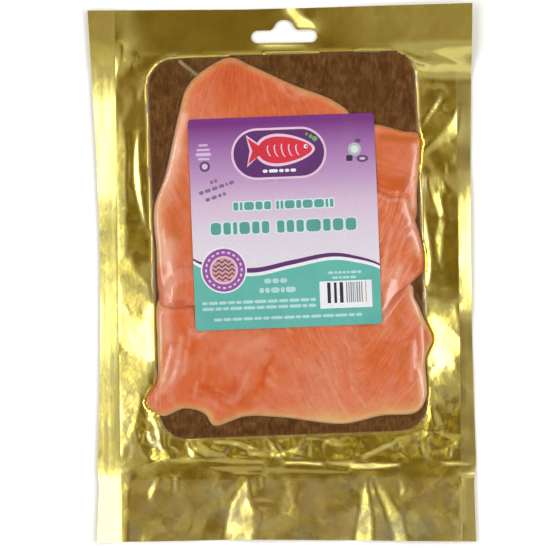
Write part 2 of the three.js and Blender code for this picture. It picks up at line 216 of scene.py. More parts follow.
def hang_slot():
    """The slot's outline: round ends, and a bump in the middle of its upper side."""
    radius = SLOT["height"] / 2
    reach = SLOT["width"] / 2 - radius
    base, top, height = SLOT_BUMP["base"] / 2, SLOT_BUMP["top"] / 2, SLOT_BUMP["height"]
    angles = np.radians(np.linspace(-90, 90, 11))
    end = np.stack([reach + radius * np.cos(angles), radius * np.sin(angles)], axis=1)
    bump = np.array([(base, 0.0), (base - 1.2, 0.9), (top + 1.2, height - 1.4), (top - 0.6, height - 0.1),
                     (top - 2, height)])
    half = np.concatenate([end, bump + (0, radius)])
    return turned(np.concatenate([half, half[::-1] * (-1, 1)]), SLOT["x"], SLOT["y"], 0)


def inside(outline, x, y):
    """True where a point lies inside a closed outline."""
    result = np.zeros(np.shape(x), dtype=bool)
    for (ax, ay), (bx, by) in zip(outline, np.roll(outline, 1, axis=0)):
        if ay == by:
            continue
        crosses = (ay > y) != (by > y)
        result ^= crosses & (x < (bx - ax) * (y - ay) / (by - ay) + ax)
    return result


def segment_distance(x, y, ax, ay, bx, by):
    """How far each point is from a straight segment."""
    dx, dy = bx - ax, by - ay
    along = np.clip(((x - ax) * dx + (y - ay) * dy) / (dx * dx + dy * dy), 0.0, 1.0)
    return np.hypot(x - ax - along * dx, y - ay - along * dy)


def edge_distance(outline, x, y):
    """How far each point is from a closed outline: positive inside it, negative outside."""
    nearest = np.full(np.shape(x), np.inf)
    for start, end in zip(outline, np.roll(outline, -1, axis=0)):
        nearest = np.minimum(nearest, segment_distance(x, y, *start, *end))
    return np.where(inside(outline, x, y), nearest, -nearest)


# ------------------------------------------------------------------ the grid of heights

SEAL_PITCH = 1.0
MARGIN_PITCH = 0.7                  # fine where the foil is creased
FOOT_PITCH = 0.5
MIDDLE_PITCH = 1.0
MIDDLE_ROW_PITCH = 1.6


def grid_lines(*spans):
    lines = []
    for start, end, pitch in spans:
        count = round((end - start) / pitch)
        lines.extend(np.linspace(start, end, count, endpoint=False))
    return np.array(lines + [spans[-1][1]])


COLUMNS = grid_lines((-HALF_WIDTH, SEAL_LEFT, SEAL_PITCH), (SEAL_LEFT, -60, MARGIN_PITCH),
                     (-60, 65, MIDDLE_PITCH), (65, SEAL_RIGHT, MARGIN_PITCH),
                     (SEAL_RIGHT, HALF_WIDTH, SEAL_PITCH))
ROWS = grid_lines((-HALF_LENGTH, -99, MIDDLE_PITCH), (-99, -72, FOOT_PITCH), (-72, 96, MIDDLE_ROW_PITCH),
                  (96, HALF_LENGTH, MIDDLE_PITCH))
GRID_X, GRID_Y = np.meshgrid(COLUMNS, ROWS)


def laid_out(x, y):
    """Where a point of the grid really is: the long edges bow inwards and the ends slant."""
    bow = np.cos(math.pi * y / (2 * HALF_LENGTH))
    foot = FOOT_NARROWS * smoothstep(-y, -SEAL_BOTTOM[1], -SEAL_BOTTOM[0] + 5)
    left = (DRAW_IN_LEFT * bow + foot) * np.clip((SEAL_LEFT - x) / (SEAL_LEFT + HALF_WIDTH), 0, 1)
    right = (DRAW_IN_RIGHT * bow + foot) * np.clip((x - SEAL_RIGHT) / (HALF_WIDTH - SEAL_RIGHT), 0, 1)
    slant = (smoothstep(y, 104, HALF_LENGTH) * np.interp(x, *zip(*HEADER_SLANT))
             + smoothstep(-y, -SEAL_BOTTOM[0], HALF_LENGTH) * np.interp(x, *zip(*FOOT_SLANT)))
    return x + left - right, y + slant


REAL_X, REAL_Y = laid_out(GRID_X, GRID_Y)


def sample(heights, x, y):
    """A grid of heights at any points, between its four nearest nodes."""
    i = np.clip(np.searchsorted(COLUMNS, x) - 1, 0, len(COLUMNS) - 2)
    j = np.clip(np.searchsorted(ROWS, y) - 1, 0, len(ROWS) - 2)
    u = (x - COLUMNS[i]) / (COLUMNS[i + 1] - COLUMNS[i])
    v = (y - ROWS[j]) / (ROWS[j + 1] - ROWS[j])
    low = heights[j, i] * (1 - u) + heights[j, i + 1] * u
    high = heights[j + 1, i] * (1 - u) + heights[j + 1, i + 1] * u
    return low * (1 - v) + high * v


def tauten(rest, rounds, free):
    """A taut web over rest: where it is free, it bridges hollows and never sinks into rest."""
    web = rest.copy()
    for _ in range(rounds):
        padded = np.pad(web, 1, mode="edge")
        mean = (padded[:-2, 1:-1] + padded[2:, 1:-1] + padded[1:-1, :-2] + padded[1:-1, 2:]) / 4
        web = np.where(free, np.maximum(rest, mean), rest)
    return web


# ------------------------------------------------------------------ folds in the foil and film

FACING = {"L": 180.0, "R": 0.0, "U": 90.0, "D": 270.0}

# One fold each: start, end, width of its bright side, bow of its crest, the way the bright side
# faces, and that side's slope.
FOIL_FOLDS = [
    ((-68, 71), (-65, 23), 3.6, 1.2, "L", 0.213),
    ((82, 56), (82, 52), 1.3, 0, "R", 0.22),
    ((78, 52), (78, 46), 1.3, 0, "R", 0.22),
    ((-15, -109), (-7, -110), 1.4, 0, "D", 0.22),
    ((5, -108), (10, -104), 1.1, 0, "U", 0.2),
    ((53, -100), (54, -107), 1.3, 0, "L", 0.2),
    ((64, -108), (67, -104), 1.1, 0, "U", 0.2),
]

# Even facets in the foil: the direction that each one faces, anticlockwise from +X, its slope
# and its outline.
FOIL_FACETS = [
    # left margin, from the top
    (180, 0.23, [(-81, 112), (-75.5, 111), (-75.5, 107), (-76, 102.5), (-78, 96.5), (-80, 90),
        (-80.5, 93.5)]),
    (180, 0.03, [(-79.5, 90), (-75.5, 96), (-71.5, 99), (-66, 96.5), (-64.5, 94), (-64.5, 70), (-74, 70),
        (-76.5, 76.5), (-79, 79)]),
    (200, 0.175, [(-68.5, 106), (-67, 104.5), (-71, 99.5), (-72, 100.5)]),
    (200, 0.1, [(-75.5, 86.5), (-71, 87), (-70.5, 83.5), (-73, 77.5), (-76, 72.5), (-77, 75), (-75.5, 80)]),
    (200, 0.19, [(-64, 93.5), (-63.5, 91.5), (-66, 88.5), (-67.5, 84), (-69.5, 85), (-68.5, 89)]),
    (150, 0.15, [(-70.5, 98.5), (-64.5, 94.5), (-64, 93), (-67.5, 94.5), (-70, 96.5)]),
    (180, 0.148, [(-79, 75.5), (-76, 75.5), (-74, 60), (-75, 12.5), (-77.5, 6.5), (-80, 6.5)]),
    (185, 0.145, [(-80, 17), (-76, 12.5), (-74, 8), (-71, 3.5), (-64, -4), (-63, -13), (-69, -18.5),
        (-73, -18.5), (-75, -14), (-80, -11.5)]),
    (180, 0.14, [(-79, 0), (-75, 2.5), (-69.5, -3.5), (-66, -6), (-69.5, -8), (-76.5, -7)]),
    (180, 0.21, [(-80, -12), (-75, -14.5), (-73, -19), (-69, -19), (-64, -14), (-61, -13.5),
        (-61.5, -29), (-60.5, -41), (-69.5, -40), (-75, -36.5), (-80.5, -32.5)]),
    (180, 0.14, [(-80.5, -36.5), (-75, -37.5), (-69, -41), (-61, -42), (-65, -49), (-66, -55.5),
        (-68.5, -58), (-74, -55.5), (-81, -56)]),
    (180, 0.142, [(-82, -56.5), (-69.5, -56), (-68.5, -59.5), (-70, -66.5), (-71.5, -73), (-70.5, -77),
        (-69, -81.5), (-66, -87.5), (-82.5, -89)]),
    (180, 0.178, [(-80, -58.5), (-70, -55.5), (-69, -58.5), (-70, -65.5), (-71.5, -71), (-74.5, -74),
        (-80, -73)]),
    (180, 0.19, [(-81, -74), (-78, -74.5), (-77, -77.5), (-78, -79), (-80, -77.5)]),
    (190, 0.24, [(-81, -78.5), (-79.5, -81), (-79, -84.5), (-79.5, -87.5), (-81, -87.5)]),
    (180, 0.22, [(-80, -75), (-71.5, -75), (-71, -77.5), (-71, -80.5), (-72, -84.5), (-74, -87.5),
        (-80, -87)]),
    (180, 0.19, [(-74, -76), (-71.5, -76), (-71, -80.5), (-73, -80.5)]),
    (180, 0.165, [(-77, -81.5), (-74.5, -80.5), (-75, -86.5), (-77.5, -86.5)]),
    (190, 0.2, [(-68, -75), (-66, -74.5), (-67, -79), (-69, -80.5), (-70, -78.5)]),
    (190, 0.165, [(-72, -84.5), (-69.5, -84), (-65, -87.5), (-65.5, -89), (-72, -88.5)]),
    (200, 0.175, [(-60, -74), (-56, -74.5), (-56, -79), (-57, -83.5), (-59, -82.5), (-60, -78)]),
    (190, 0.17, [(-55, -77.5), (-50.5, -76.5), (-48, -82.5), (-50, -84.5), (-52.5, -82.5), (-55.5, -81.5)]),
    (180, 0.2, [(-55, -83), (-53.5, -83), (-53.5, -87.5), (-55, -87.5)]),
    # right margin, from the top
    (75, 0.225, [(56, 106.5), (62, 106), (67, 104), (74.5, 104.5), (80, 102), (85, 99.5), (86.5, 98.5),
        (81, 99), (66.5, 100), (63, 101.5), (59, 104)]),
    (340, 0.19, [(76, 84), (77.5, 82), (75, 78), (71, 72.5), (67, 68.5), (69.5, 74.5), (73, 80)]),
    (335, 0.182, [(84.5, 82), (85.5, 76), (85, 69.5), (84, 63.5), (78, 61), (72, 58), (66.5, 55),
        (69.5, 60), (76, 66), (80, 70.5), (83, 76)]),
    (0, 0.2, [(66.5, 46), (67.5, 44), (68, 32), (69.5, 20), (71, 8), (71, 0), (70, -6), (67.5, -9),
        (67.5, 1), (66.5, 22.5)]),
    (180, 0.19, [(69.5, 45), (73.5, 45.5), (78, 44.5), (78.5, 37.5), (76, 40), (73.5, 41), (72, 34.5),
        (70, 39)]),
    (180, 0.21, [(71, 36), (75.5, 39), (77.5, 28), (75, 24.5), (73.5, 29.5)]),
    (180, 0.19, [(74.5, 25.5), (78, 23), (76.5, 15), (76, 3.5), (74, 4), (72.5, 16)]),
    (0, 0.04, [(67, -8.5), (83.5, -9), (83.5, -13.5), (70, -14)]),
    (0, 0.152, [(69, -15.5), (83, -15.5), (84, -29.5), (80.5, -26), (74.5, -21.5), (69, -19)]),
    (0, 0.2, [(67.5, -21), (73, -23), (79, -26), (85, -32.5), (85.5, -39), (79.5, -43), (70.5, -45),
        (67, -46)]),
    (0, 0.04, [(85.5, -30), (86.5, -33), (86.5, -53), (82.5, -48), (81.5, -44.5), (86, -40)]),
    (340, 0.19, [(69, -53.5), (68.5, -48), (72.5, -44), (78.5, -43.5), (74.5, -49)]),
    (350, 0.158, [(69, -54.5), (74.5, -49), (79.5, -44.5), (80.5, -50), (83.5, -53.5), (86, -56),
        (89, -59.5), (86, -61), (81.5, -60), (76.5, -59), (70, -56.5)]),
    (320, 0.175, [(69.5, -60.5), (71.5, -60.5), (73, -63.5), (72, -65.5), (70, -63.5)]),
    (340, 0.175, [(69.5, -65), (71.5, -65.5), (75, -69), (76, -72), (75, -75), (72, -73.5), (70, -69.5)]),
    (0, 0.165, [(71, -67.5), (74.5, -68.5), (74.5, -74.5), (72, -74)]),
    (320, 0.17, [(74, -74), (77.5, -73), (77.5, -75), (74.5, -76)]),
    (320, 0.13, [(77, -62.5), (81, -64), (81, -67.5), (77.5, -67)]),
    (80, 0.165, [(71, -76), (74.5, -76.5), (74.5, -78), (71.5, -77.5)]),
    (80, 0.155, [(75, -77.5), (83, -77.5), (82.5, -79.5), (78, -80.5), (76.5, -79.5)]),
    (10, 0.12, [(67, -80), (69.5, -80), (69.5, -88.5), (67, -89)]),
    (10, 0.14, [(80, -81), (83, -80.5), (83, -84.5), (80.5, -85.5)]),
    (0, 0.19, [(78, -84), (80, -84), (80, -89), (78, -89)]),
    (0, 0.16, [(63.5, -83.5), (65.5, -84), (68.5, -88), (67, -89.5), (64.5, -86)]),
    # strip under the board
    (190, 0.26, [(-49, -78), (-47, -77.5), (-45.5, -81), (-43.5, -85.5), (-42.5, -88), (-46, -87.5),
        (-48, -83.5)]),
    (180, 0.21, [(-44.5, -79), (-43, -78.5), (-42.5, -82), (-44, -83)]),
    (60, 0.2, [(-42, -81), (-39.5, -81), (-37, -83), (-32.5, -84.5), (-28.5, -85.5), (-30.5, -87.5),
        (-39, -87.5), (-41.5, -84.5)]),
    (75, 0.22, [(-35, -79.5), (-29.5, -79), (-22.5, -79.5), (-18, -81), (-13.5, -83.5), (-14, -84.5),
        (-19, -83.5), (-23, -82.5), (-28.5, -81.5), (-34, -81.5)]),
    (75, 0.205, [(-22, -82.5), (-18, -82.5), (-17.5, -84.5), (-21.5, -84)]),
    (80, 0.2, [(-22, -84.5), (-19.5, -84.5), (-19.5, -87), (-22, -87)]),
    (80, 0.205, [(-18, -84.5), (-11, -85), (-12.5, -87), (-17.5, -87.5)]),
    (20, 0.22, [(-10, -79), (-7.5, -79), (-5, -82.5), (-2, -86), (-4.5, -86.5), (-7, -84.5)]),
    (20, 0.2, [(2.5, -78), (4.5, -78.5), (6, -83.5), (4, -83.5)]),
    (80, 0.21, [(-1.5, -85.5), (2, -83.5), (6, -83), (8.5, -87.5), (5.5, -87), (3, -85.5), (0, -86.5)]),
    (80, 0.18, [(9, -78.5), (15.5, -78), (17.5, -80), (11, -80)]),
    (0, 0.21, [(10.5, -82), (12.5, -82), (13, -87.5), (10, -87.5)]),
    (60, 0.165, [(21, -78), (23.5, -78.5), (28, -83), (25.5, -83.5)]),
    (0, 0.22, [(30.5, -85), (32.5, -85.5), (32, -88), (30.5, -88.5)]),
    (100, 0.215, [(36.5, -87), (41.5, -85), (47.5, -82), (51, -81), (54, -78), (55.5, -79.5), (53, -82),
        (49, -84), (43.5, -87), (39.5, -88), (39, -90), (36.5, -90)]),
    # along the bottom seal
    (170, 0.17, [(-85, -87.5), (-74.5, -87.5), (-65, -88), (-61.5, -88.5), (-67, -90.5), (-72.5, -92),
        (-75.5, -94), (-85, -94)]),
    (90, 0.17, [(-58, -88), (-41, -87.5), (-22, -88), (-10.5, -89), (-10.5, -91), (-22, -91),
        (-41, -89.5), (-50.5, -90)]),
    (90, 0.145, [(-38.5, -91.5), (-11.5, -91.5), (-11.5, -94), (-22, -95), (-34, -94)]),
    (90, 0.18, [(-26.5, -94.5), (-11.5, -95), (-11.5, -96), (-24, -96)]),
    (90, 0.235, [(-1, -89.5), (7, -89.5), (17.5, -90.5), (18, -92.5), (7, -91.5), (0, -91.5)]),
    (90, 0.205, [(20, -90), (30.5, -90), (32.5, -89.5), (32.5, -91.5), (29, -93), (22, -92)]),
    (90, 0.23, [(30.5, -91.5), (40.5, -90.5), (47, -91.5), (54, -91), (54.5, -93), (48, -93.5),
        (40.5, -94.5), (30.5, -94)]),
    (90, 0.215, [(74, -90.5), (82.5, -91), (88, -92), (88, -93), (76, -93)]),
    (90, 0.185, [(83, -96), (90, -96), (90, -99), (84.5, -99.5)]),
    (90, 0.125, [(-9.5, -92.5), (30.5, -94.5), (30.5, -96.5), (-9.5, -95)]),
    # skirt
    (180, 0.137, [(-81, -95), (-74.5, -95), (-75.5, -107.5), (-76.5, -127), (-80.5, -127)]),
    (180, 0.2, [(-18.5, -96), (-17, -104.5), (-15.5, -109), (-15.5, -117.5), (-16, -129.5),
        (-32, -129.5), (-30, -122.5), (-28.5, -113.5), (-26.5, -108), (-24.5, -104), (-21.5, -100.5)]),
    (180, 0.17, [(-23, -105), (-19, -106), (-19.5, -109.5), (-23, -112), (-25, -114), (-24, -109.5)]),
    (100, 0.1, [(-17.5, -109.5), (-11, -110.5), (-11, -112), (-17, -111)]),
    (90, 0.17, [(-17.5, -106.5), (-11.5, -107.5), (-8, -109.5), (-11.5, -110), (-17, -109)]),
    (180, 0.14, [(-15.5, -112), (-12, -112), (-11, -116), (-13.5, -122.5), (-15.5, -123.5)]),
    (180, 0.2, [(37.5, -97.5), (39, -100), (40.5, -109), (42, -118.5), (42, -130.5), (31.5, -130.5),
        (33, -118.5), (35.5, -108)]),
    (180, 0.2, [(41, -97.5), (45, -101), (51, -109.5), (56, -117), (58.5, -130.5), (51, -130.5),
        (49.5, -122), (46, -112), (42.5, -104)]),
    (0, 0.18, [(-2.5, -97), (1, -100), (3.5, -105.5), (5.5, -113), (2.5, -108.5), (0, -103.5)]),
    (180, 0.19, [(-59.5, -96.5), (-62, -101.5), (-64, -107), (-66.5, -107.5), (-66.5, -102.5), (-64, -98)]),
    (180, 0.175, [(-55, -96), (-51, -96.5), (-51.5, -103.5), (-54.5, -104.5)]),
    (180, 0.18, [(-31, -97), (-32.5, -100.5), (-35.5, -103.5), (-37.5, -103), (-35.5, -99.5)]),
    (180, 0.17, [(-14, -96.5), (-10, -97), (-10.5, -103), (-13.5, -102)]),
    (0, 0.175, [(50.5, -98.5), (55, -99), (58.5, -104.5), (54.5, -108), (52, -104)]),
    (70, 0.165, [(76.5, -105), (83, -101.5), (84, -103), (78.5, -107)]),
    (0, 0.05, [(85, -101), (90.5, -101), (90.5, -129), (85, -129)]),
    (0, 0.12, [(82.5, -101), (84.5, -101), (84.5, -119), (82, -119)]),
    # header
    (62, 0.25, [(2.5, 127.5), (8, 127.5), (11.5, 123), (15.5, 121), (18, 116), (14.5, 117), (11, 116),
        (8, 117), (6, 121.5), (3.5, 124)]),
    (90, 0.19, [(-10.5, 110.5), (11.5, 110), (11, 107.5), (-9, 107.5)]),
]

# How steeply the sealed sides curl up off the table: height along the pack, slope.
LEFT_CURL = [(-127, 0.24), (-100, 0.24), (-92, 0.187), (-85, 0.167), (-60, 0.165), (-46, 0.172),
             (-32, 0.19), (-17, 0.193), (-3, 0.186), (12, 0.169), (26, 0.168), (40, 0.21), (82, 0.212),
             (92, 0.18), (100, 0.11), (106, 0.05), (112, 0.0)]
RIGHT_CURL = [(-127, 0.15), (-104, 0.148), (-97, 0.12), (-94, 0.07), (-88, 0.04), (-79, 0.07), (-70, 0.04),
              (-60, 0.11), (-46, 0.1), (-32, 0.04), (-24, 0.07), (-18, 0.19), (-8, 0.222), (0, 0.22),
              (30, 0.212), (40, 0.18), (48, 0.06), (54, 0.04), (62, 0.1), (68, 0.125), (76, 0.1),
              (82, 0.07), (90, 0.02), (96, 0.0)]
LIFTED_EDGE = (4.5, 0.015)          # beyond this distance outside the seal the left edge turns up more
LIFTED_ROWS = (-86, -70, 0, 20)     # between these heights along the pack: start, full, fade, end
SEAL_LINES = 0.004                  # slope of the fine lines that the sealing bars press
SEAL_LINE_PITCH = 1.6
SEAL_LINE_LENGTH = 12               # in pitches
SEAL_LINE_ROWS = (-98, -88, 92, 104)


def fold_frame(x, y, start, end, bow, face):
    """The way a leaf-shaped fold faces, and how far points are along it (0 to 1) and across it."""
    (ax, ay), (bx, by) = start, end
    length = math.hypot(bx - ax, by - ay)
    ux, uy = (bx - ax) / length, (by - ay) / length
    nx, ny = -uy, ux
    facing = math.radians(FACING[face])
    if nx * math.cos(facing) + ny * math.sin(facing) < 0:
        nx, ny = -nx, -ny
    along = ((x - ax) * ux + (y - ay) * uy) / length
    across = (x - ax) * nx + (y - ay) * ny - 4 * bow * along * (1 - along)
    return (nx, ny), np.clip(along, 0, 1), across


def fold_side(x, y, start, end, width, bow, face):
    """The bright side of a leaf-shaped fold: the way it faces, and how far a point is inside it."""
    normal, along, across = fold_frame(x, y, start, end, bow, face)
    return normal, np.minimum(across, width * np.sin(math.pi * along) ** 0.7 - across)


class Slopes:
    """The slopes that a sheet's parts want to have, and how much each part insists on them."""

    def __init__(self, weight):
        self.x = np.zeros(REAL_X.shape)
        self.y = np.zeros(REAL_X.shape)
        self.weight = weight.copy()

    def lay(self, mask, x, y, weight):
        """Sets the slopes where the mask is 1."""
        self.x = self.x * (1 - mask) + x * mask
        self.y = self.y * (1 - mask) + y * mask
        self.weight = self.weight * (1 - mask) + weight * mask

    def lay_facets(self, facets):
        for facing, slope, outline in facets:
            cos, sin = math.cos(math.radians(facing)), math.sin(math.radians(facing))
            mask = near_mask(outline, lambda x, y: edge_distance(np.array(outline), x, y))
            self.lay(mask, -slope * cos, -slope * sin, FACET_WEIGHT)

    def lay_folds(self, folds):
        for start, end, width, bow, face, slope in folds:
            reach = width + abs(bow)
            corners = [(px + sx * reach, py + sy * reach)
                       for px, py in (start, end) for sx in (-1, 1) for sy in (-1, 1)]
            (nx, ny), _ = fold_side(0.0, 0.0, start, end, width, bow, face)
            mask = near_mask(corners, lambda x, y: fold_side(x, y, start, end, width, bow, face)[1])
            self.lay(mask, -slope * nx, -slope * ny, FACET_WEIGHT)

    def lay_crumple(self, amount, pitch, steepest, seed):
        """Adds small random facets, in cells of about the given pitch."""
        random = np.random.default_rng(seed)
        i, j = np.meshgrid(np.arange(-HALF_WIDTH, HALF_WIDTH, pitch),
                           np.arange(-HALF_LENGTH, HALF_LENGTH, pitch))
        sites = np.stack([i.ravel(), j.ravel()], 1) + random.uniform(-0.6, 0.6, (i.size, 2)) * pitch
        turn = random.uniform(0, 2 * math.pi, i.size)
        slope = steepest * random.uniform(0.2, 1.0, i.size) ** 1.5
        used = amount > 0.01
        x, y = REAL_X[used], REAL_Y[used]
        nearest = np.full(x.shape, np.inf)
        cell = np.zeros(x.shape, dtype=int)
        for k, (sx, sy) in enumerate(sites):
            distance = np.abs(x - sx) + 0.6 * np.abs(y - sy) + 0.5 * np.hypot(x - sx, y - sy)
            closer = distance < nearest
            nearest[closer], cell[closer] = distance[closer], k
        self.x[used] += amount[used] * (slope * np.cos(turn))[cell]
        self.y[used] += amount[used] * (slope * np.sin(turn))[cell]


MASK_EDGE = (-0.25, 0.35)           # a facet's edge is softened across this distance
FACET_WEIGHT = 4.0


def near_mask(points, depth_of):
    """1 where depth_of is positive, softened at the edge, worked out only near some points."""
    points = np.array(points)
    low, high = points.min(axis=0) - 1, points.max(axis=0) + 1
    near = (REAL_X > low[0]) & (REAL_X < high[0]) & (REAL_Y > low[1]) & (REAL_Y < high[1])
    mask = np.zeros(REAL_X.shape)
    mask[near] = smoothstep(depth_of(REAL_X[near], REAL_Y[near]), *MASK_EDGE)
    return mask


def settle(slopes, fixed, rounds=500, ease=1.85):
    """The heights, never below zero, whose slopes come nearest to the wanted ones."""
    pitch_x = np.diff(REAL_X, axis=1)
    pitch_y = np.diff(REAL_Y, axis=0)
    tie_x = np.minimum(slopes.weight[:, :-1], slopes.weight[:, 1:]) * np.gradient(ROWS)[:, None] / pitch_x
    tie_y = np.minimum(slopes.weight[:-1], slopes.weight[1:]) * np.gradient(COLUMNS)[None, :] / pitch_y
    rise_x = tie_x * pitch_x * (slopes.x[:, :-1] + slopes.x[:, 1:]) / 2
    rise_y = tie_y * pitch_y * (slopes.y[:-1] + slopes.y[1:]) / 2
    left, right = np.pad(tie_x, ((0, 0), (1, 0))), np.pad(tie_x, ((0, 0), (0, 1)))
    down, up = np.pad(tie_y, ((1, 0), (0, 0))), np.pad(tie_y, ((0, 1), (0, 0)))
    wanted = np.pad(rise_x, ((0, 0), (1, 0))) - np.pad(rise_x, ((0, 0), (0, 1)))
    wanted += np.pad(rise_y, ((1, 0), (0, 0))) - np.pad(rise_y, ((0, 1), (0, 0)))
    total = left + right + down + up
    rows, columns = np.indices(REAL_X.shape)
    colors = [(~fixed) & ((rows + columns) % 2 == k) for k in (0, 1)]
    heights = np.zeros(REAL_X.shape)
    for _ in range(rounds):
        for color in colors:
            wide = np.pad(heights, 1)
            pull = left * wide[1:-1, :-2] + right * wide[1:-1, 2:] + wanted
            pull += down * wide[:-2, 1:-1] + up * wide[2:, 1:-1]
            change = ease * (pull / total - heights)
            heights = np.where(color, np.maximum(heights + change, 0.0), heights)
    return heights


BACK_SLOPE = 0.4                    # the far side of a film fold, as a share of its bright side's slope


def fold_field(x, y, folds):
    """Small leaf-shaped ridges in the film, the highest of them at each point."""
    field = np.zeros(np.shape(x))
    for start, end, width, bow, face, slope in folds:
        reach = width * (1 + 1 / BACK_SLOPE) + abs(bow)
        near = (x > min(start[0], end[0]) - reach) & (x < max(start[0], end[0]) + reach)
        near &= (y > min(start[1], end[1]) - reach) & (y < max(start[1], end[1]) + reach)
        ridge = fold_ridge(x[near], y[near], start, end, width, bow, face, slope)
        field[near] = soft_max(ridge, field[near], 0.05)
    return field


def fold_ridge(x, y, start, end, width, bow, face, slope):
    """A leaf-shaped ridge: an even bright side, a gentle far side, pointed at both ends."""
    _, along, across = fold_frame(x, y, start, end, bow, face)
    swell = np.sin(math.pi * along) ** 0.8
    bright = slope * (width * swell - across)
    far = slope * (width * swell + BACK_SLOPE * across)
    return np.maximum(soft_min(bright, far, 0.08), 0.0)


def curl(x, y):
    """Outside the seals the edge curls up off the table, more in some places than in others."""
    beyond_left = np.clip(SEAL_LEFT - x, 0, None)
    beyond_right = np.clip(x - SEAL_RIGHT, 0, None)
    height = np.interp(y, *zip(*LEFT_CURL)) * beyond_left + np.interp(y, *zip(*RIGHT_CURL)) * beyond_right
    reach, slope = LIFTED_EDGE
    strip = slope * np.clip(beyond_left - reach, 0, None) * span(y, *LIFTED_ROWS)
    lines = noise(x, y / SEAL_LINE_LENGTH, SEAL_LINE_PITCH, 61) * span(y, *SEAL_LINE_ROWS)
    sealed = np.clip((beyond_left + beyond_right) / 2, 0, 1)
    return height + strip + 2 * SEAL_LINE_PITCH * SEAL_LINES * lines * sealed


board_rim = placed_rectangle(BOARD, 2.0)
board_depth = edge_distance(board_rim, REAL_X, REAL_Y)

# Slope of the header's bend up towards its two corners: position across the pack, slope.
HEADER_BEND = [(-92, 0.11), (-82, 0.11), (-73, 0.135), (-67, 0.07), (-60, 0.0), (14, 0.0),
               (26, 0.06), (40, 0.096), (92, 0.096)]
BEND_ROWS = (90, 112)               # the bend grows between these heights along the pack

# The foil rises in a thin lip along the board: slope on the left, right, top and bottom.
LIP = {"left": 0.085, "right": 0.055, "top": 0.13, "bottom": 0.02}
LIP_WIDTH = 1.3
LIP_AT_CORNERS = 3                  # the lip is lower where it turns a corner
TUCK_WIDTH = 0.7                    # beside the board the foil drops steeply within this distance

# Steepest slope of the finest creases in each part of the foil, added up.
CREASES = {"sealed": 0.008, "margin": 0.02, "foot": 0.05, "foot seal": 0.03, "skirt": 0.045}

LOOSE_WEIGHT = 0.3
SEALED_WEIGHT = 0.6
TUCK_WEIGHT = 0.002
CREASE_WEIGHTS = (0.2, 0.12, 0.08)  # added where crumpled, in the skirt and in the margin
TUCK_ABOVE = -58                    # the foil is tucked in above this height along the pack,
LOOSE_CORNER = (67, 106, 14)        # but not near the board's upper right corner: centre, radius

# Where the foil is crumpled most: heights below the pack's middle where that starts and is full,
# and round two corners of the board (centre, full within, none beyond).
CRUMPLED = ((64, 74), [(76, -68, 12, 24), (-72, -76, 9, 20)])
FINELY_CREASED = ((66, 74), [(76, -70, 12, 22), (-74, -76, 9, 20)])

# Random facets: pitch, steepest slope, seed.
CRUMPLE_AT_FOOT = (4.6, 0.2, 5)
CRUMPLE_IN_MARGIN = (7.0, 0.13, 6)
CRUMPLE_IN_SKIRT = (8.0, 0.13, 7)


def header_bend(x):
    """Height of the header's bend, from its slopes."""
    places, slopes = zip(*HEADER_BEND)
    steps = np.linspace(places[0], places[-1], 369)
    slope = np.interp(steps, places, slopes) * np.sign(steps)
    height = np.concatenate([[0.0], np.cumsum((slope[1:] + slope[:-1]) / 2 * np.diff(steps))])
    return np.interp(x, steps, height - height.min())


def foot_and_corners(foot, corners):
    """1 in the strip at the board's foot and round its lower corners."""
    amount = smoothstep(-REAL_Y, *foot)
    for x, y, full, end in corners:
        amount = np.maximum(amount, smoothstep(-np.hypot(REAL_X - x, REAL_Y - y), -end, -full))
    return amount


def crease_amount(faceted):
    """How steep the foil's finest creases are: more in the strip at the board's foot and its corners."""
    x, y = REAL_X, REAL_Y
    side = span(x, SEAL_LEFT, SEAL_LEFT + 2, SEAL_RIGHT - 2, SEAL_RIGHT)
    margin = side * span(y, SEAL_BOTTOM[1] - 1, SEAL_BOTTOM[1] + 1, SEAL_TOP - 2, SEAL_TOP)
    foot = foot_and_corners(*FINELY_CREASED)
    skirt = side * smoothstep(-y, -SEAL_BOTTOM[0], 1.5 - SEAL_BOTTOM[0])
    seal = side * smoothstep(-y, -SEAL_BOTTOM[1] - 1, 1 - SEAL_BOTTOM[1]) - skirt
    amount = (CREASES["sealed"] + margin * (CREASES["margin"] + foot * CREASES["foot"])
              + np.clip(seal, 0, 1) * CREASES["foot seal"] + skirt * CREASES["skirt"])
    return amount * (1 - 0.7 * faceted)


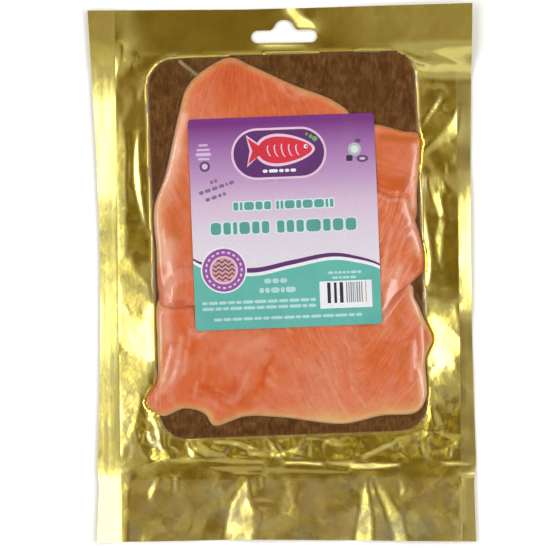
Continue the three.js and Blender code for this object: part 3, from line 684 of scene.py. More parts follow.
def foil_bottom(slice_depth):
    """The underside of the foil: flat under the board and the slices, creased round them."""
    x, y = REAL_X, REAL_Y
    outside = -board_depth
    side = span(x, SEAL_LEFT - 1, SEAL_LEFT + 1, SEAL_RIGHT - 1, SEAL_RIGHT + 1)
    margin = side * span(y, SEAL_BOTTOM[1] - 0.5, SEAL_BOTTOM[1] + 2, SEAL_TOP - 4, SEAL_TOP)
    skirt = side * smoothstep(-y, 0.5 - SEAL_BOTTOM[0], 5 - SEAL_BOTTOM[0])
    crumpled = foot_and_corners(*CRUMPLED) * margin
    loose = np.maximum(margin, skirt)
    slopes = Slopes(toward(SEALED_WEIGHT, LOOSE_WEIGHT, loose))
    slopes.lay_crumple(crumpled, *CRUMPLE_AT_FOOT)
    slopes.lay_crumple(margin * (1 - crumpled), *CRUMPLE_IN_MARGIN)
    slopes.lay_crumple(skirt, *CRUMPLE_IN_SKIRT)
    for part, weight in zip((crumpled, skirt, margin), CREASE_WEIGHTS):
        slopes.weight += weight * part
    down_y, down_x = np.gradient(board_depth, ROWS, COLUMNS)
    lip = np.where(np.abs(x - BOARD["x"]) > 0.5 * BOARD["width"] - 1,
                   np.where(x < 0, LIP["left"], LIP["right"]),
                   np.where(y > 0, LIP["top"], LIP["bottom"]))
    lip = lip * np.maximum(np.abs(down_x), np.abs(down_y)) ** LIP_AT_CORNERS
    near_board = smoothstep(LIP_WIDTH + TUCK_WIDTH - outside, -0.4, 0.4)
    slopes.lay(near_board * (lip > 0), lip * down_x, lip * down_y, 1.0)
    slopes.lay_facets(FOIL_FACETS)
    slopes.lay_folds(FOIL_FOLDS)
    faceted = np.clip(slopes.weight / FACET_WEIGHT, 0, 1)
    pinned = (board_depth > -0.1) | (slice_depth > -0.3)
    corner_x, corner_y, radius = LOOSE_CORNER
    tucked = (outside < TUCK_WIDTH) & (y > TUCK_ABOVE) & (np.hypot(x - corner_x, y - corner_y) > radius)
    slopes.weight[tucked | (slice_depth > -0.9)] = TUCK_WEIGHT
    fixed = pinned | (x < SEAL_LEFT + 0.1)
    creases = settle(slopes, fixed)
    fine = 0.03 * (1 + layered_noise(x, y, 5, 31, 2)) * (0.4 + loose)
    header = smoothstep(y, *BEND_ROWS) * header_bend(x)
    return (creases + fine + curl(x, y) + header) * ~pinned, faceted


# ------------------------------------------------------------------ slices

SLICES = {
    "salmon_slice_1": [
        (61.6, -6.5), (62.4, -11.9), (64.3, -15.9), (66.6, -21.5), (68.9, -26.3), (71, -32.5),
        (67.6, -41), (67.6, -60), (63, -67), (46, -68.6), (28, -72.2), (-2.5, -68.7), (-19, -68.1),
        (-34.2, -72.2), (-38.5, -66.6), (-47.9, -63.9), (-59, -67.4), (-66.2, -60.5), (-61.4, -52),
        (-60.6, -35), (-60, -12), (-52, -3), (-30, 0), (0, 0), (35, -1), (54, -2.5),
    ],
    "salmon_slice_2": [
        (65.2, 66), (66, 55), (64.5, 39), (63, 24), (52, 17), (24, 17), (8, 24), (4, 42), (12, 58),
        (28, 68), (44, 70.9), (58, 67.4),
    ],
    "salmon_slice_3": [
        (-24, 103.6), (-14, 99.6), (5, 90.6), (26, 81.8), (33, 75), (27, 60), (17, 40), (12, 20),
        (8, 0), (0, -14), (-20, -17), (-42, -15.5), (-58, -15), (-60, -7), (-60.4, 11),
        (-61.3, 32), (-55.8, 48), (-49, 77), (-44.8, 90), (-36.5, 98),
    ],
    "salmon_slice_4": [
        (59.4, 35.5), (61.8, 28.8), (64.1, 22.4), (66, 15.2), (67, 9), (66.7, 0.5), (63.8, -3),
        (59.5, -6.5), (52.5, -13.5), (47, -21), (42, -22.5), (35, -18), (29, -10), (26, 8),
        (27.5, 27), (36, 38.5), (44.4, 39.2), (51, 36.3),
    ],
}


def flow_slice_1(x, y):
    """Nested chevrons that point down at the right, and slack fibres on the left."""
    chevron = 1.9 * np.hypot(x - 33 - 0.12 * (y + 66), 4.0) - (y + 66)
    slack = 0.9 * x - 0.25 * y
    right = smoothstep(x, -25, 5)
    return right * 0.55 * chevron + (1 - right) * slack


def flow_slice_2(x, y):
    return 0.35 * x + 0.8 * y + 0.004 * (x - 60) ** 2


def flow_slice_3(x, y):
    """Fibres that fan down from the slice's tip and lean at the left side's middle."""
    spread = 14 + 27 * (1 - np.exp(-np.clip(104 - y, 0, None) / 25))
    leaning = smoothstep(-x, 38, 46) * smoothstep(y, 12, 28) * (1 - smoothstep(y, 58, 72))
    return 38 * (x + 20) / spread + 0.55 * (y - 42) * leaning


def flow_slice_4(x, y):
    """Fibres that slant up to the right."""
    return 0.88 * x - 0.47 * y + 0.003 * (y - 10) ** 2


FLOWS = dict(zip(SLICES, (flow_slice_1, flow_slice_2, flow_slice_3, flow_slice_4)))

MUSCLE_RELIEF = 0.3
MUSCLE_PITCH = 34.0
FIBRE_RELIEF = 0.07
FIBRE_PITCH = 4.6
LUMPS = (0.22, 16, 40)              # height, pitch and seed of the slices' soft lumps


def slice_thickness(name, rim, x, y):
    """A slice's thickness, thin at its rim and uneven inside, and how far points are inside it."""
    depth = edge_distance(rim, x, y)
    across = 2 * math.pi * (x + 0.4 * y) / MUSCLE_PITCH
    down = 2 * math.pi * (y - 0.3 * x) / (1.7 * MUSCLE_PITCH)
    muscle = MUSCLE_RELIEF * (0.6 * np.sin(across) + 0.4 * np.sin(down))
    lump, pitch, seed = LUMPS
    muscle = muscle + lump * layered_noise(x, y, pitch, seed)
    fullness = np.sin(math.pi / 2 * np.clip(depth / SLICE_TAPER, 0, 1))
    fibre = FIBRE_RELIEF * np.sin(2 * math.pi * FLOWS[name](x, y) / FIBRE_PITCH)
    body = SLICE_EDGE + (SLICE_FULL - SLICE_EDGE + muscle + fibre) * fullness
    roll = np.clip(depth / RIM_ROUND, 0, 1)
    return toward(RIM_THICKNESS, body, np.sqrt(roll * (2 - roll))), depth


# ------------------------------------------------------------------ the stack of heights

FILM_FOLDS = [
    # over the left edge of the slices
    ((-53, 60), (-60, 34), 1.8, 0.4, "L", 0.2),
    ((-50, 72), (-55, 40), 1.4, 0.2, "L", 0.17),
    ((-60.5, 34), (-58, -12), 1.7, -0.2, "L", 0.19),
    ((-56.5, 30), (-54.5, 2), 2.2, 0.3, "L", 0.18),
    ((-53.5, 14), (-53, -20), 2.6, -0.3, "L", 0.18),
    ((-58.5, -14), (-59.5, -44), 1.3, 0, "L", 0.22),
    ((-50, -26), (-58, -52), 1.8, 0.3, "L", 0.17),
    ((-46, -28), (-54, -60), 1.6, 0.5, "L", 0.15),
    ((-47, -40), (-49, -52), 0.9, 0, "L", 0.14),
    # creases that run off the slices
    ((-49, 102.5), (-40.5, 95), 1.0, 0, "L", 0.3),
    ((-35.4, -69), (-35.8, -77), 0.7, 0, "L", 0.36),
    ((-3, -26), (1, -31), 0.6, 0, "R", 0.29),
    # over the right edge
    ((64.5, 60), (61, 36), 1.2, -0.4, "R", 0.36),
    ((62, 56), (58.5, 33), 1.2, -0.3, "R", 0.29),
    ((59, 34), (65, 8), 2.4, 0.4, "R", 0.19),
    ((60.5, 30), (64.5, 14), 1.4, 0.2, "R", 0.2),
    ((52.5, 1), (44, -27), 2.8, 0.4, "L", 0.18),
    ((61.5, -8), (66, -22), 1.6, 0, "R", 0.2),
    ((62, -28), (61.5, -52), 1.3, 0.2, "R", 0.32),
    ((65.5, -24), (66.8, -46), 1.3, 0.2, "R", 0.27),
    ((63, -44), (67, -62), 1.6, 0.3, "R", 0.27),
    ((58, -30), (55, -48), 1.0, 0, "R", 0.22),
]

SLICE_DRAPE = 14                    # rounds of tautening: the more, the wider a sheet bridges
FILM_DRAPE = 2
LABEL_DRAPE = 500
FILM_RIPPLE = (0.05, 9, 70)         # height, pitch and seed of the film's ripple
FILM_CLEARANCE = 0.03               # keeps the ripple off what lies under it

slice_rims = {name: smooth_rim(knots, 0.9) for name, knots in SLICES.items()}
any_slice = np.max([edge_distance(rim, REAL_X, REAL_Y) for rim in slice_rims.values()], axis=0)
foil_low, foil_faceted = foil_bottom(any_slice)
foil_high = foil_low + FOIL_THICKNESS
support = np.where(board_depth > -0.2, BOARD_TOP, foil_high)

slice_bottoms = {}
for slice_name, slice_rim in slice_rims.items():
    bottom = tauten(support, SLICE_DRAPE, board_depth > 1.0) + LAYER_GAP
    thickness, depth = slice_thickness(slice_name, slice_rim, REAL_X, REAL_Y)
    slice_bottoms[slice_name] = bottom
    support = np.where(depth > -0.6, bottom + thickness, support)

over_board = board_depth > -3.0
film_ridges = fold_field(REAL_X, REAL_Y, FILM_FOLDS)
ripple, ripple_pitch, ripple_seed = FILM_RIPPLE
film_low = tauten(support + LAYER_GAP, FILM_DRAPE, over_board) + film_ridges + FILM_CLEARANCE
film_low += ripple * layered_noise(REAL_X, REAL_Y, ripple_pitch, ripple_seed) * over_board
film_high = film_low + FILM_THICKNESS

label_rim = placed_rectangle(LABEL, 2.0)
under_label = edge_distance(label_rim, REAL_X, REAL_Y) > -1.5
label_low = tauten(film_high + LAYER_GAP, LABEL_DRAPE, under_label)
label_high = label_low + LABEL_THICKNESS

# ------------------------------------------------------------------ meshes


def triangulate(outlines, loose, keep):
    """Triangles along closed outlines and through loose points, where keep(x, y) is true."""
    points, edges = [], []
    for outline in outlines:
        first, count = len(points), len(outline)
        edges += [(first + k, first + (k + 1) % count) for k in range(count)]
        points += list(outline)
    points = [Vector(tuple(point)) for point in points + list(loose)]
    coords, _, faces, *_ = delaunay_2d_cdt(points, edges, [], 0, 1e-5)
    coords = np.array([tuple(c) for c in coords])
    faces = np.array([f for f in faces if len(f) == 3])
    faces = faces[keep(*coords[faces].mean(axis=1).T)]
    a, b, c = (coords[faces[:, k]] for k in range(3))
    ab, ac = b - a, c - a
    area = ab[:, 0] * ac[:, 1] - ab[:, 1] * ac[:, 0]
    faces[area < 0] = faces[area < 0][:, ::-1]
    return coords, faces[np.abs(area) > 1e-6]


def crease_along(mesh, lines):
    """Sharp edges where both ends lie on one of the seal lines."""
    ends = np.empty(2 * len(mesh.edges), dtype=np.int32)
    mesh.edges.foreach_get("vertices", ends)
    sharp = np.empty(len(mesh.edges), dtype=bool)
    mesh.edges.foreach_get("use_edge_sharp", sharp)
    mesh.edges.foreach_set("use_edge_sharp", sharp | lines[ends.reshape(-1, 2)].all(axis=1))


def write_mesh(name, vertices, triangles, materials, attributes, material_of_face):
    """A mesh object from arrays of millimetre vertices and triangles."""
    used, triangles = np.unique(triangles, return_inverse=True)
    triangles = triangles.reshape(-1, 3)
    vertices = vertices[used]
    mesh = bpy.data.meshes.new(name)
    mesh.vertices.add(len(vertices))
    mesh.vertices.foreach_set("co", (vertices * MM).ravel())
    mesh.loops.add(triangles.size)
    mesh.loops.foreach_set("vertex_index", triangles.ravel().astype(np.int32))
    mesh.polygons.add(len(triangles))
    mesh.polygons.foreach_set("loop_start", np.arange(0, triangles.size, 3, dtype=np.int32))
    for material in materials:
        mesh.materials.append(material)
    if material_of_face is not None:
        mesh.polygons.foreach_set("material_index", material_of_face.astype(np.int32))
    for key, values in attributes.items():
        kind = "FLOAT_VECTOR" if values.ndim == 2 else "FLOAT"
        field = "vector" if values.ndim == 2 else "value"
        layer = mesh.attributes.new(key, kind, "POINT")
        layer.data.foreach_set(field, values[used].ravel())
    mesh.update(calc_edges=True)
    mesh.validate()
    mesh.polygons.foreach_set("use_smooth", np.ones(len(mesh.polygons), dtype=bool))
    mesh.set_sharp_from_angle(angle=math.radians(50))
    crease_along(mesh, np.isclose(vertices[:, 0], SEAL_LEFT) | np.isclose(vertices[:, 0], SEAL_RIGHT))
    piece = bpy.data.objects.new(name, mesh)
    bpy.context.collection.objects.link(piece)
    return piece


def sheet(name, points, faces, bottom, top, materials, attributes=None, material_of_face=None):
    """A thin closed sheet: the same triangles above and below, and a wall along every free edge."""
    count = len(points)
    x, y = laid_out(points[:, 0], points[:, 1])
    upper = np.stack([x, y, top], axis=1)
    lower = np.stack([x, y, bottom], axis=1)
    edges = np.concatenate([faces[:, [0, 1]], faces[:, [1, 2]], faces[:, [2, 0]]])
    codes = edges[:, 0].astype(np.int64) * count + edges[:, 1]
    opposite = edges[:, 1].astype(np.int64) * count + edges[:, 0]
    free = edges[~np.isin(codes, opposite)]
    start, end = free[:, 0], free[:, 1]
    wall = np.concatenate([
        np.stack([start + count, end + count, end], axis=1),
        np.stack([start + count, end, start], axis=1),
    ])
    triangles = np.concatenate([faces, faces[:, ::-1] + count, wall])
    if material_of_face is not None:
        plain = np.zeros(len(faces) + len(wall), dtype=int)
        material_of_face = np.concatenate([material_of_face, plain])
    doubled = {key: np.concatenate([v, v]) for key, v in (attributes or {}).items()}
    vertices = np.concatenate([upper, lower])
    return write_mesh(name, vertices, triangles, materials, doubled, material_of_face)


def cell_block(x_span, y_span):
    """The grid's lines from the first outside a span to the last, as index ranges."""
    i0, i1 = np.searchsorted(COLUMNS, x_span)
    j0, j1 = np.searchsorted(ROWS, y_span)
    return (i0 - 1, i1), (j0 - 1, j1)


def grid_faces(skip):
    """Two triangles for every cell of the grid but those in the skipped blocks."""
    wide = len(COLUMNS)
    i, j = np.meshgrid(np.arange(wide - 1), np.arange(len(ROWS) - 1))
    kept = np.ones(i.shape, dtype=bool)
    for (i0, i1), (j0, j1) in skip:
        kept &= ~((i >= i0) & (i < i1) & (j >= j0) & (j < j1))
    i, j = i[kept], j[kept]
    a, b = j * wide + i, j * wide + i + 1
    c, d = b + wide, a + wide
    odd = (i + j) % 2 == 1
    first = np.where(odd[:, None], np.stack([a, b, c], 1), np.stack([a, b, d], 1))
    second = np.where(odd[:, None], np.stack([a, c, d], 1), np.stack([b, c, d], 1))
    return np.concatenate([first, second])


def block_border(block):
    """The grid nodes round a block, anticlockwise, as points."""
    (i0, i1), (j0, j1) = block
    walk = [(i, j0) for i in range(i0, i1)] + [(i1, j) for j in range(j0, j1)]
    walk += [(i, j1) for i in range(i1, i0, -1)] + [(i0, j) for j in range(j1, j0, -1)]
    return [(COLUMNS[i], ROWS[j]) for i, j in walk]


def join_patches(faces, patches):
    """Adds patches of loose triangles to the grid's own, sharing the nodes that they meet at."""
    points = list(zip(GRID_X.ravel(), GRID_Y.ravel()))
    index = {(round(x, 4), round(y, 4)): k for k, (x, y) in enumerate(points)}
    all_faces = [faces]
    for coords, patch in patches:
        place = []
        for x, y in coords:
            key = (round(x, 4), round(y, 4))
            if key not in index:
                index[key] = len(points)
                points.append((x, y))
            place.append(index[key])
        all_faces.append(np.array(place)[patch])
    return np.array(points), np.concatenate(all_faces)


def slot_patch(block):
    """The cells round the hang slot, cut again along its outline."""
    slot = spaced(hang_slot(), MARGIN_PITCH)
    (i0, i1), (j0, j1) = block
    x, y = np.meshgrid(COLUMNS[i0 + 1:i1], ROWS[j0 + 1:j1])
    clear = edge_distance(slot, x, y) < -0.4
    return triangulate([block_border(block), slot], zip(x[clear], y[clear]),
                       lambda px, py: ~inside(slot, px, py))


def plain_patch(block, pitch):
    """A flat part of the foil, where nothing shows: a few large triangles."""
    (i0, i1), (j0, j1) = block
    x, y = np.meshgrid(np.arange(COLUMNS[i0] + pitch, COLUMNS[i1] - pitch / 2, pitch),
                       np.arange(ROWS[j0] + pitch, ROWS[j1] - pitch / 2, pitch))
    return triangulate([block_border(block)], zip(x.ravel(), y.ravel()),
                       lambda px, py: np.ones(px.shape, bool))


SLOT_BLOCK = cell_block((-16.5, 20.5), (109.5, 122.8))
UNDER_BOARD_BLOCK = cell_block((-56, 59), (-70, 97))


def blade_points(outline, pitch):
    """Points in rows inside an outline, clear of its edge."""
    low, high = outline.min(axis=0), outline.max(axis=0)
    rows = np.arange(low[1], high[1], pitch * 0.866)
    points = []
    for k, y in enumerate(rows):
        x = np.arange(low[0] + (k % 2) * pitch / 2, high[0], pitch)
        points.append(np.stack([x, np.full(x.shape, y)], axis=1))
    points = np.concatenate(points)
    return points[edge_distance(outline, points[:, 0], points[:, 1]) > pitch * 0.45]


# ------------------------------------------------------------------ materials


class Nodes:
    """A short way to write a node tree."""

    def __init__(self, tree):
        self.tree = tree
        tree.nodes.clear()

    def add(self, kind, inputs=None, **settings):
        """A shader node of a kind, with its inputs fed and its settings made."""
        node = self.tree.nodes.new("ShaderNode" + kind)
        for key, value in settings.items():
            setattr(node, key, value)
        for key, value in (inputs or {}).items():
            self.feed(node.inputs[key], value)
        return node

    def feed(self, socket, value):
        if isinstance(value, bpy.types.NodeSocket):
            self.tree.links.new(value, socket)
        else:
            socket.default_value = value

    def attribute(self, name, output="Fac"):
        return self.add("Attribute", attribute_name=name).outputs[output]

    def math(self, operation, a, b=0.0, clamp=False):
        return self.add("Math", {0: a, 1: b}, operation=operation, use_clamp=clamp).outputs[0]

    def plus(self, a, b):
        return self.math("ADD", a, b)

    def times(self, a, b, clamp=False):
        return self.math("MULTIPLY", a, b, clamp)

    def vector(self, operation, a, b):
        inputs = {0: a, "Scale" if operation == "SCALE" else 1: b}
        return self.add("VectorMath", inputs, operation=operation).outputs[0]

    def ramp(self, value, stops):
        """A colour ramp: stops are (position, colour)."""
        node = self.add("ValToRGB", {"Fac": value})
        elements = node.color_ramp.elements
        while len(elements) < len(stops):
            elements.new(0.5)
        for element, (position, color) in zip(elements, stops):
            element.position = position
            element.color = rgb(*color)
        return node.outputs["Color"]

    def between(self, value, low, high, to_low=0.0, to_high=1.0):
        return self.add("MapRange", {
            "Value": value, "From Min": low, "From Max": high, "To Min": to_low, "To Max": to_high,
        }, interpolation_type="SMOOTHSTEP").outputs["Result"]

    def mix(self, factor, a, b, blend="MIX"):
        return self.add("Mix", {0: factor, 6: a, 7: b}, data_type="RGBA", blend_type=blend).outputs[2]

    def texture(self, vector, scale, detail=2.0, roughness=0.5, distortion=0.0, output="Fac"):
        return self.add("TexNoise", {
            "Vector": vector, "Scale": scale, "Detail": detail, "Roughness": roughness,
            "Distortion": distortion,
        }).outputs[output]

    def stretched(self, vector, scale):
        return self.add("Mapping", {"Vector": vector, "Scale": scale}).outputs["Vector"]

    def bump(self, height, strength, distance):
        return self.add("Bump", {
            "Height": height, "Strength": strength, "Distance": distance}).outputs["Normal"]

    def principled(self, inputs):
        return self.add("BsdfPrincipled", inputs).outputs[0]

    def diffuse(self, color):
        return self.add("BsdfDiffuse", {"Color": color}).outputs[0]

    def blend(self, factor, a, b):
        """Two shaders, mixed."""
        return self.add("MixShader", {0: factor, 1: a, 2: b}).outputs[0]


def rgb(red, green, blue):
    return (red, green, blue, 1.0)


def make_material(name, shader_of, *details):
    """A material whose surface is shader_of(nodes, place), where place is in the pack's frame."""
    material = bpy.data.materials.new(name)
    material.use_nodes = True
    nodes = Nodes(material.node_tree)
    place = nodes.add("TexCoord").outputs["Object"]
    nodes.feed(nodes.add("OutputMaterial").inputs["Surface"], shader_of(nodes, place, *details))
    return material


CREASE_SIZES = [(160, 1.0), (320, 0.4)]    # cells in a metre, share of the steepest slope
CELL_WANDER = (120, 0.005)          # the cells' edges wander: waves in a metre, reach in metres
HALF_GREY = (0.5, 0.5, 0.5)


def creased(nodes, place, normal):
    """Tilts a normal evenly within each cell of a crumple, as small flat facets do."""
    amount = nodes.attribute("crease")
    waves, reach = CELL_WANDER
    wander = nodes.texture(place, waves, 0, output="Color")
    wander = nodes.vector("SCALE", nodes.vector("SUBTRACT", wander, HALF_GREY), reach)
    place = nodes.vector("ADD", place, wander)
    for cells_per_metre, share in CREASE_SIZES:
        cells = nodes.add("TexVoronoi", {"Vector": place, "Scale": cells_per_metre},
                          voronoi_dimensions="2D", distance="MANHATTAN").outputs["Color"]
        tilt = nodes.vector("MULTIPLY", nodes.vector("SUBTRACT", cells, HALF_GREY), (2.0, 2.0, 0.0))
        normal = nodes.vector("ADD", normal, nodes.vector("SCALE", tilt, nodes.times(amount, share)))
    return nodes.add("VectorMath", {0: normal}, operation="NORMALIZE").outputs[0]


def gold_foil(nodes, place):
    """Metallised gold laminate: soft reflections, small creases, a fine grain and uneven colour."""
    patches = nodes.between(nodes.texture(place, 22, 3), 0.35, 0.65)
    grain = nodes.texture(place, 700, 2, 0.6)
    return nodes.principled({
        "Base Color": nodes.mix(patches, rgb(0.86, 0.70, 0.09), rgb(0.87, 0.76, 0.13)),
        "Metallic": 1.0, "Specular Tint": rgb(1.0, 0.86, 0.35),
        "Roughness": nodes.between(nodes.texture(place, 60, 3), 0.3, 0.7, 0.09, 0.14),
        "Normal": creased(nodes, place, nodes.bump(grain, 0.25, 0.0001)),
    })


MOST_MIRRORED = 0.11                # the film stays clear even where it stands steep
SEAL_PALENESS = 0.035               # the bonded side seals look a little milky
PALENESS_FADES = (104, 92)          # that paleness ends below the header
SKIRT_HAZE = (0.04, 0.3)            # least and most haze over the loose skirt


def clear_film(nodes, place):
    """Clear glossy film, a little hazy over the loose skirt, where air lies behind it, with a pale tan
    painted highlight along the board's edge and in one crease.
    """
    ripple = nodes.bump(nodes.texture(place, 90, 2), 0.3, 0.0002)
    gloss = nodes.add("BsdfAnisotropic", {"Color": rgb(1, 1, 1), "Roughness": 0.07, "Normal": ripple})
    clear = nodes.add("BsdfTransparent", {"Color": rgb(0.998, 0.998, 0.995)})
    edge = nodes.add("Fresnel", {"IOR": 1.5, "Normal": ripple}).outputs[0]
    mirrored = nodes.math("MINIMUM", nodes.times(edge, nodes.attribute("shine")), MOST_MIRRORED)
    film = nodes.blend(mirrored, clear.outputs[0], gloss.outputs[0])
    x, y = nodes.add("SeparateXYZ", {0: place}).outputs[:2]
    inner = nodes.times(nodes.between(x, SEAL_LEFT * MM, (SEAL_LEFT + 0.5) * MM),
                        nodes.between(x, SEAL_RIGHT * MM, (SEAL_RIGHT - 0.5) * MM))
    skirt = nodes.times(nodes.between(y, SEAL_BOTTOM[0] * MM, (SEAL_BOTTOM[0] - 1.5) * MM), inner)
    skirt = nodes.times(nodes.between(x, (SEAL_LEFT + 3) * MM, (SEAL_LEFT + 4.5) * MM), skirt)
    haze = nodes.between(nodes.texture(place, 70, 4, 0.6), 0.3, 0.7, *SKIRT_HAZE)
    milk = nodes.diffuse(nodes.ramp(nodes.texture(place, 38, 2), [
        (0.3, (0.34, 0.33, 0.22)), (0.5, (0.45, 0.34, 0.10)), (0.7, (0.46, 0.33, 0.16))]))
    film = nodes.blend(nodes.times(skirt, haze), film, milk)
    start, end = PALENESS_FADES
    sealed = nodes.times(nodes.math("SUBTRACT", 1.0, inner),
                         nodes.between(y, start * MM, end * MM, 0.0, SEAL_PALENESS))
    film = nodes.blend(sealed, film, nodes.diffuse(rgb(0.9, 0.9, 0.55)))
    # Painted highlight: a pale tan diffuse colour in place of the film's reflection where it folds down
    # beside the board and in one crease.
    return nodes.blend(nodes.attribute("painted_highlight"), film, nodes.diffuse(rgb(0.66, 0.49, 0.24)))


def brown_board(nodes, place):
    """Dark brown laminated card with a faint upright fibre and a blotchy tone."""
    fibre = nodes.texture(nodes.stretched(place, (620, 190, 1)), 1.0, 4, 0.7)
    blotch = nodes.texture(place, 170, 4, 0.6)
    color = nodes.ramp(nodes.plus(nodes.times(fibre, 0.55), nodes.times(blotch, 0.45)), [
        (0.39, (0.065, 0.023, 0.004)), (0.5, (0.112, 0.043, 0.008)), (0.61, (0.18, 0.08, 0.022))])
    dark = nodes.between(nodes.texture(place, 38, 3), 0.3, 0.75, 0.0, 0.45)
    return nodes.principled({
        "Base Color": nodes.mix(dark, color, rgb(0.085, 0.032, 0.006)), "Roughness": 0.55,
        "Specular IOR Level": 0.08, "Normal": nodes.bump(fibre, 0.2, 0.0002),
    })


RIM_UNEVENNESS = 7.0                # how much the pale rim's width varies, in mm


def flesh_color(nodes, place):
    """Orange to deep red by the tone, with soft mottling, pale haze and small dark flecks."""
    mottle = nodes.times(nodes.math("SUBTRACT", nodes.texture(place, 75, 5, 0.72), 0.5), 2.0)
    hue = nodes.plus(nodes.attribute("tone"), mottle)
    color = nodes.ramp(nodes.plus(nodes.times(hue, 0.5), 0.5), [
        (0.0, (0.68, 0.25, 0.15)), (0.35, (0.66, 0.175, 0.076)), (0.62, (0.64, 0.13, 0.032)),
        (1.0, (0.57, 0.078, 0.008))])
    haze = nodes.between(nodes.texture(place, 48, 5, 0.62, 1.2), 0.5, 0.72, 0.0, 0.55)
    color = nodes.mix(haze, color, rgb(0.68, 0.27, 0.19))
    fleck = nodes.between(nodes.texture(place, 230, 3, 0.6, 0.8), 0.52, 0.7, 0.0, 0.35)
    return nodes.mix(fleck, color, rgb(0.54, 0.10, 0.03))


def fat_lines(nodes, color):
    """Pale fat lines and darker lean ones along the fibres: the colour and the lines' pattern."""
    flow = nodes.attribute("flow", "Vector")
    strength = nodes.attribute("fat")
    fat = nodes.texture(nodes.stretched(flow, (1.0, 0.12, 1.0)), 0.5, 3, 0.62, 0.6)
    fine = nodes.texture(nodes.stretched(flow, (1.0, 0.08, 1.0)), 1.35, 3, 0.65, 0.5)
    streak = nodes.plus(nodes.between(fat, 0.48, 0.74, 0.0, 0.65),
                        nodes.times(nodes.between(fine, 0.44, 0.68), 0.6))
    streak = nodes.times(nodes.times(streak, strength), 0.5, True)
    lean = nodes.times(nodes.times(nodes.between(fat, 0.47, 0.3), strength), 0.5, True)
    color = nodes.mix(streak, color, rgb(0.85, 0.36, 0.2))
    return nodes.mix(lean, color, rgb(0.48, 0.075, 0.014)), fat


def pale_rim(nodes, place, color):
    """Tan towards a slice's rim, in a band of uneven width, and cream at the very edge."""
    rim = nodes.attribute("rim")
    ragged = nodes.plus(rim, nodes.times(nodes.texture(place, 160, 3), 1.6))
    uneven = nodes.math("SUBTRACT", nodes.texture(place, 55, 2), 0.5)
    ragged = nodes.plus(ragged, nodes.times(uneven, RIM_UNEVENNESS))
    far = nodes.times(nodes.between(ragged, 8.6, 0.8), 0.5)
    near = nodes.times(nodes.between(ragged, 4.2, 0.7), 0.38)
    color = nodes.mix(nodes.plus(far, near), color, rgb(0.68, 0.42, 0.16))
    return nodes.mix(nodes.between(rim, 1.7, 0.6, 0.0, 0.4), color, rgb(0.84, 0.56, 0.3))


def salmon_flesh(nodes, place):
    """Cold-smoked salmon: fat lines along the fibres, pale at the rim, soft and moist, with the film's sheen
    painted on in pale pink streaks.
    """
    color, fat = fat_lines(nodes, flesh_color(nodes, place))
    color = pale_rim(nodes, place, color)
    color = nodes.mix(nodes.times(nodes.attribute("amber"), 0.85, True), color, rgb(0.47, 0.112, 0.006))
    broken = nodes.between(nodes.texture(place, 130, 3), 0.2, 0.6, 0.55, 1.0)
    # Pale pink strokes: pale fat lines, and a painted highlight where the film's folds over the slices'
    # edges reflect light.
    fat_and_sheen_veil = nodes.times(nodes.times(nodes.attribute("fat_and_sheen"), broken), 0.95, True)
    return nodes.principled({
        "Base Color": nodes.mix(fat_and_sheen_veil, color, rgb(0.84, 0.45, 0.31)), "Roughness": 0.42,
        "Subsurface Weight": 0.2, "Subsurface Radius": (1.0, 0.35, 0.18), "Subsurface Scale": 0.002,
        "Specular IOR Level": 0.15, "Normal": nodes.bump(fat, 0.25, 0.0004),
    })


def printed_paper(nodes, place, color_of, *details):
    """Coated paper with a print colour, a little uneven."""
    grain = nodes.texture(place, 1200, 2)
    soiled = nodes.between(grain, 0.3, 0.7, 0.0, 0.06)
    return nodes.principled({
        "Base Color": nodes.mix(soiled, color_of(nodes, place, *details), rgb(0, 0, 0)),
        "Roughness": 0.42, "Specular IOR Level": 0.25, "Normal": nodes.bump(grain, 0.08, 0.00005),
    })


def ink(nodes, place, color):
    """One print colour."""
    lighter = [min(1.0, 1.08 * c) for c in color]
    return nodes.mix(nodes.between(nodes.texture(place, 90, 2), 0.3, 0.7), rgb(*color), rgb(*lighter))


def label_gradient(nodes, place):
    """Violet at the top of the label, fading down to a pale lilac."""
    height = nodes.plus(nodes.math("DIVIDE", nodes.attribute("label_v"), LABEL["length"]), 0.5)
    return nodes.ramp(height, [
        (0.30, (0.69, 0.66, 0.71)), (0.46, (0.67, 0.59, 0.69)), (0.6, (0.61, 0.46, 0.61)),
        (0.7, (0.49, 0.31, 0.51)), (0.85, (0.34, 0.15, 0.38)), (0.97, (0.175, 0.025, 0.195))])


# ------------------------------------------------------------------ the label's print


# The wave across the label: u, v, thickness.
SWOOSH = [(-46, -16.2, 0.9), (-41, -18.2, 1.3), (-17, -22.6, 2.3), (2, -19.6, 2.2), (21.5, -16.6, 1.9),
          (32, -18.0, 1.6), (46, -23.2, 1.0)]
ROUND_ANGLES = np.linspace(0, 2 * math.pi, 40, endpoint=False)


